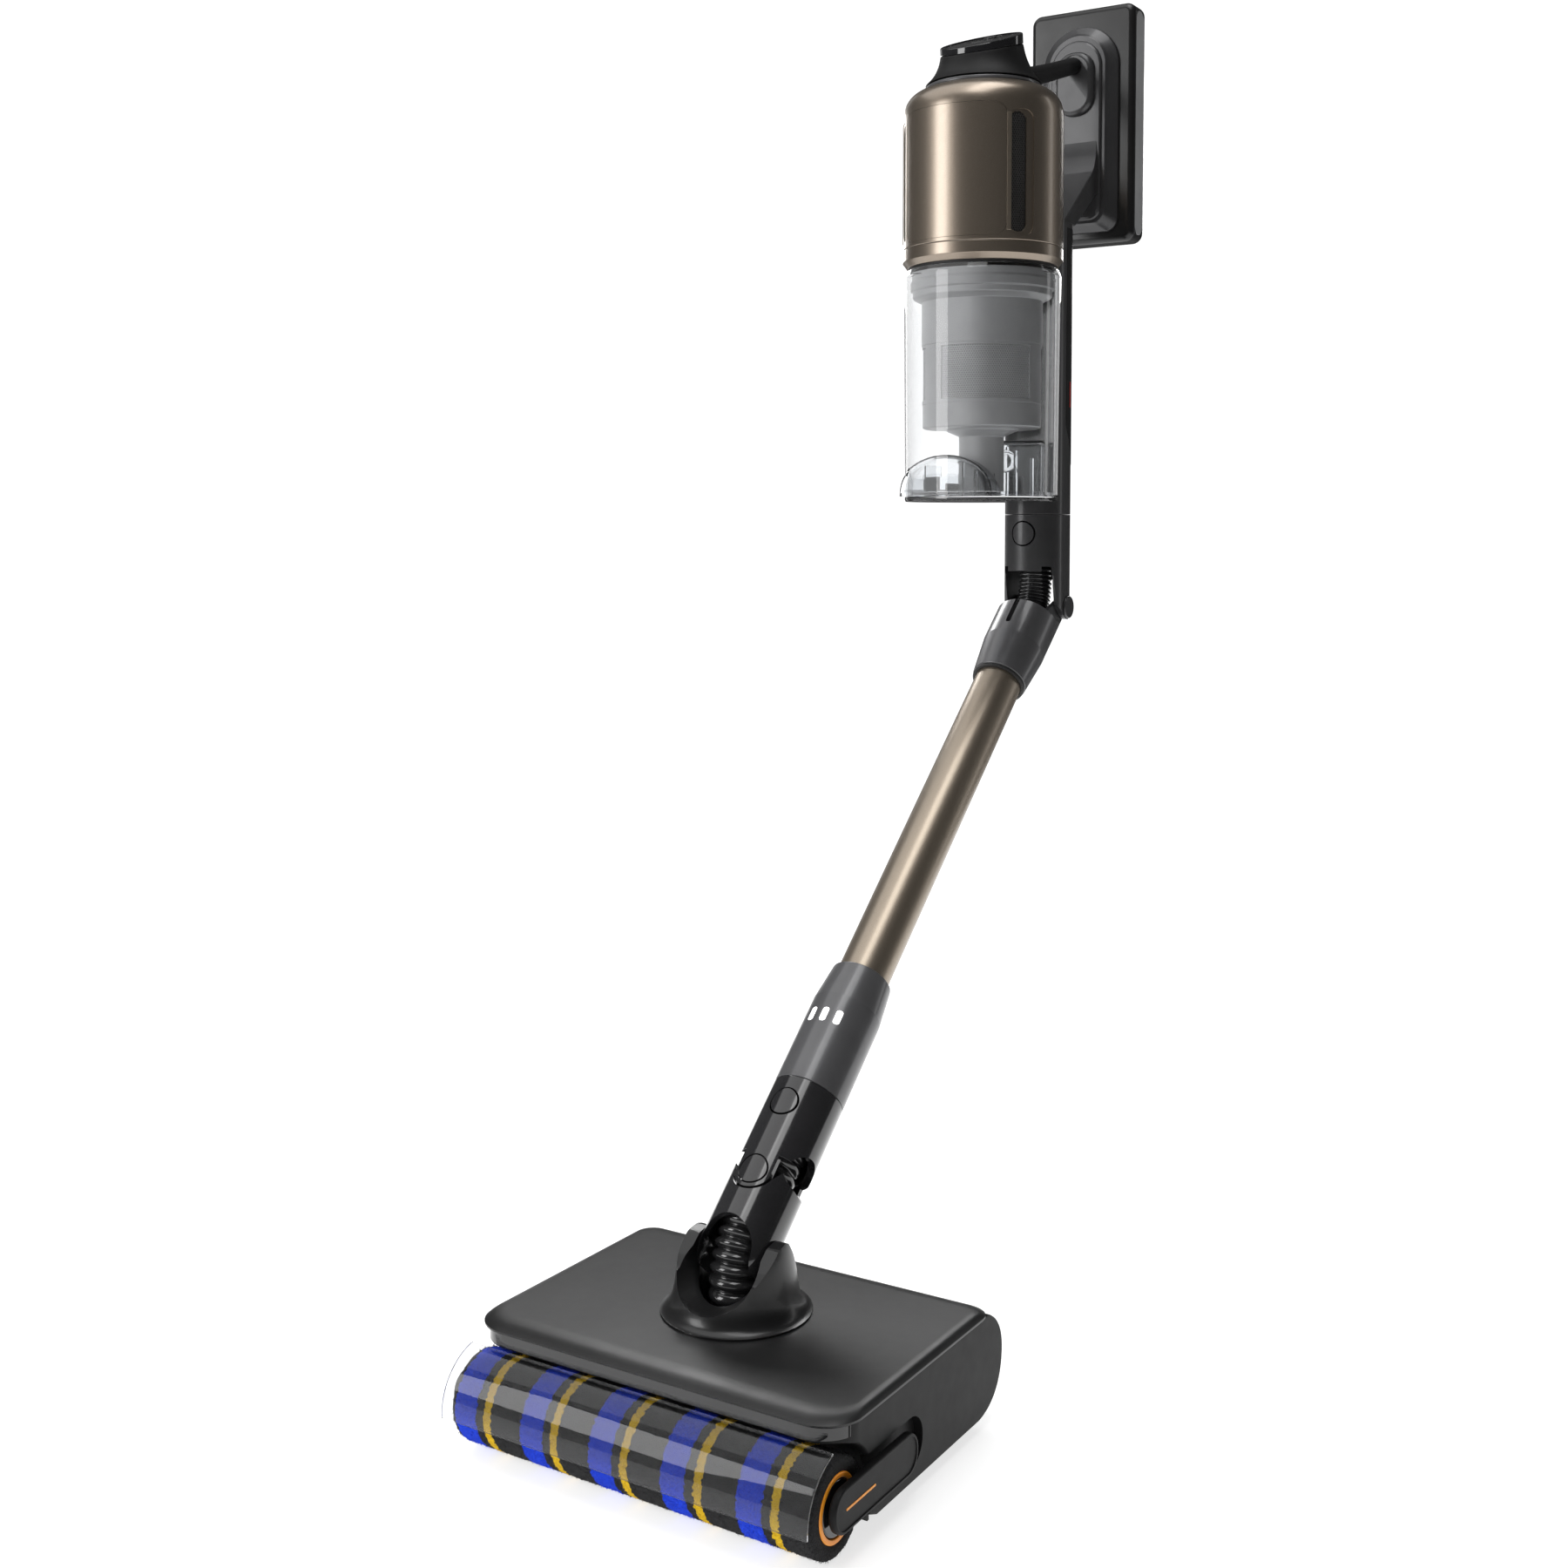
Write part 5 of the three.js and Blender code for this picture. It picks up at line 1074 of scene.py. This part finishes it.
# ---------------------------------------------------------------- carried-over CAD nodes, camera and studio
def finish_cad_nodes():
    looks = {
        "scraper_blade": RUBBER, "roller_motor": STEEL, "suction_motor": STEEL, "impeller": STEEL,
        "pre_filter": FILTER, "exhaust_filter": FILTER, "battery_cells": CELLS,
    }
    for node, obj in frame["nodes"].items():
        if obj.hide_render:
            continue
        for slot in obj.material_slots:
            slot.material = looks.get(node, MATTE)


def area_light(name, target, azimuth, height, distance, width, length, power):
    """A soft box that faces target, in m and W. azimuth 0 is in front (-y), and it turns towards +x."""
    data = bpy.data.lights.new(name, "AREA")
    data.shape = "RECTANGLE"
    data.size, data.size_y, data.energy = width, length, power
    obj = linked(name, data)
    a = math.radians(azimuth)
    obj.location = Vector((distance * math.sin(a) + target[0], target[1] - distance * math.cos(a), height))
    obj.rotation_euler = (Vector(target) - obj.location).to_track_quat("-Z", "Y").to_euler()
    obj.visible_camera = False
    obj.visible_transmission = False


def build_world():
    """White for the camera, dark in mirrors, and for all other rays a light that fades towards one side."""
    world = bpy.data.worlds.new("studio")
    bpy.context.scene.world = world
    world.use_nodes = True
    world.node_tree.nodes.clear()
    n = Nodes(world.node_tree)
    dark_side = math.radians(100)
    place = n.new("TexCoord", {}).outputs["Generated"]
    towards = (math.sin(dark_side), -math.cos(dark_side), 0)
    turn = n.new("VectorMath", {0: place, 1: towards}, operation="DOT_PRODUCT")
    soft = n.spread(turn.outputs["Value"], 1.45, 0.07, -0.35, 0.5, interpolation_type="SMOOTHSTEP")
    rays = n.new("LightPath", {}).outputs
    mirrored = n.maths("SUBTRACT", rays["Is Glossy Ray"], rays["Is Transmission Ray"], use_clamp=True)

    def backdrop(strength):
        return n.new("Background", {"Color": (1, 1, 1, 1), "Strength": strength}).outputs[0]

    unseen = n.new("MixShader", {0: mirrored, 1: backdrop(soft), 2: backdrop(0.05)}).outputs[0]
    every_ray = n.new("MixShader", {0: rays["Is Camera Ray"], 1: unseen, 2: backdrop(1.12)}).outputs[0]
    n.new("OutputWorld", {0: every_ray})


def build_studio():
    floor = skin([[(-1.7, -1.9, 0), (1.7, -1.9, 0), (1.7, 1.7, 0), (-1.7, 1.7, 0)]], ends=(True, False))
    floor.name = floor.data.name = "floor"
    n = Look("floor_white")
    tone = n.mix(n.spread(n.noise(3), 0, 1), (0.42, 0.42, 0.42), (0.44, 0.44, 0.44))
    white = n.done(Base_Color=tone, Roughness=0.9, Specular_IOR_Level=0.0, Emission_Strength=0.72)
    floor.data.materials.append(white)
    build_world()
    middle = (0, 0, 0.55)
    area_light("key", (0, 0, 0.95), -36, 1.2, 2.2, 0.8, 1.3, 20)
    area_light("top_left", (-1.05, -0.05, 0.25), 0, 2.5, 0.35, 2.5, 1.9, 18)
    area_light("zenith", (0.35, -0.05, 0.25), 0, 2.55, 0.35, 0.8, 1.9, 17)
    area_light("left_rim", middle, -128, 1.0, 2.2, 0.3, 2.2, 1.5)
    area_light("right_strip", middle, 140, 1.0, 2.3, 0.3, 2.2, 3)
    area_light("cover_glow", (0, -0.2, 0.08), -156, 0.98, 1.1, 1.0, 0.3, 7)


def build_camera():
    """View from the front right. Its aim is a little below level, and the lens shift makes up the rest."""
    data = bpy.data.cameras.new("camera")
    data.sensor_width = 36
    data.lens = 42.4
    data.shift_y = -0.10
    camera = linked("camera", data)
    camera.location = (0.6439, -1.1782, 0.5768)
    camera.rotation_euler = (math.radians(90 - 2.99), 0, math.radians(32.29))
    bpy.context.scene.camera = camera
    bpy.context.scene.view_settings.view_transform = "Standard"


for build in (build_camera, build_studio, build_head_shell, build_head_cover, build_roller, build_shield,
              build_latch, build_wheels, build_yoke, build_hoses, build_sleeve, build_connector,
              build_wand_body, build_collar, build_grip, build_spine, build_bin, build_bin_mouldings,
              build_cyclone, build_barrel, build_top, build_handle, build_battery, finish_cad_nodes):
    build()
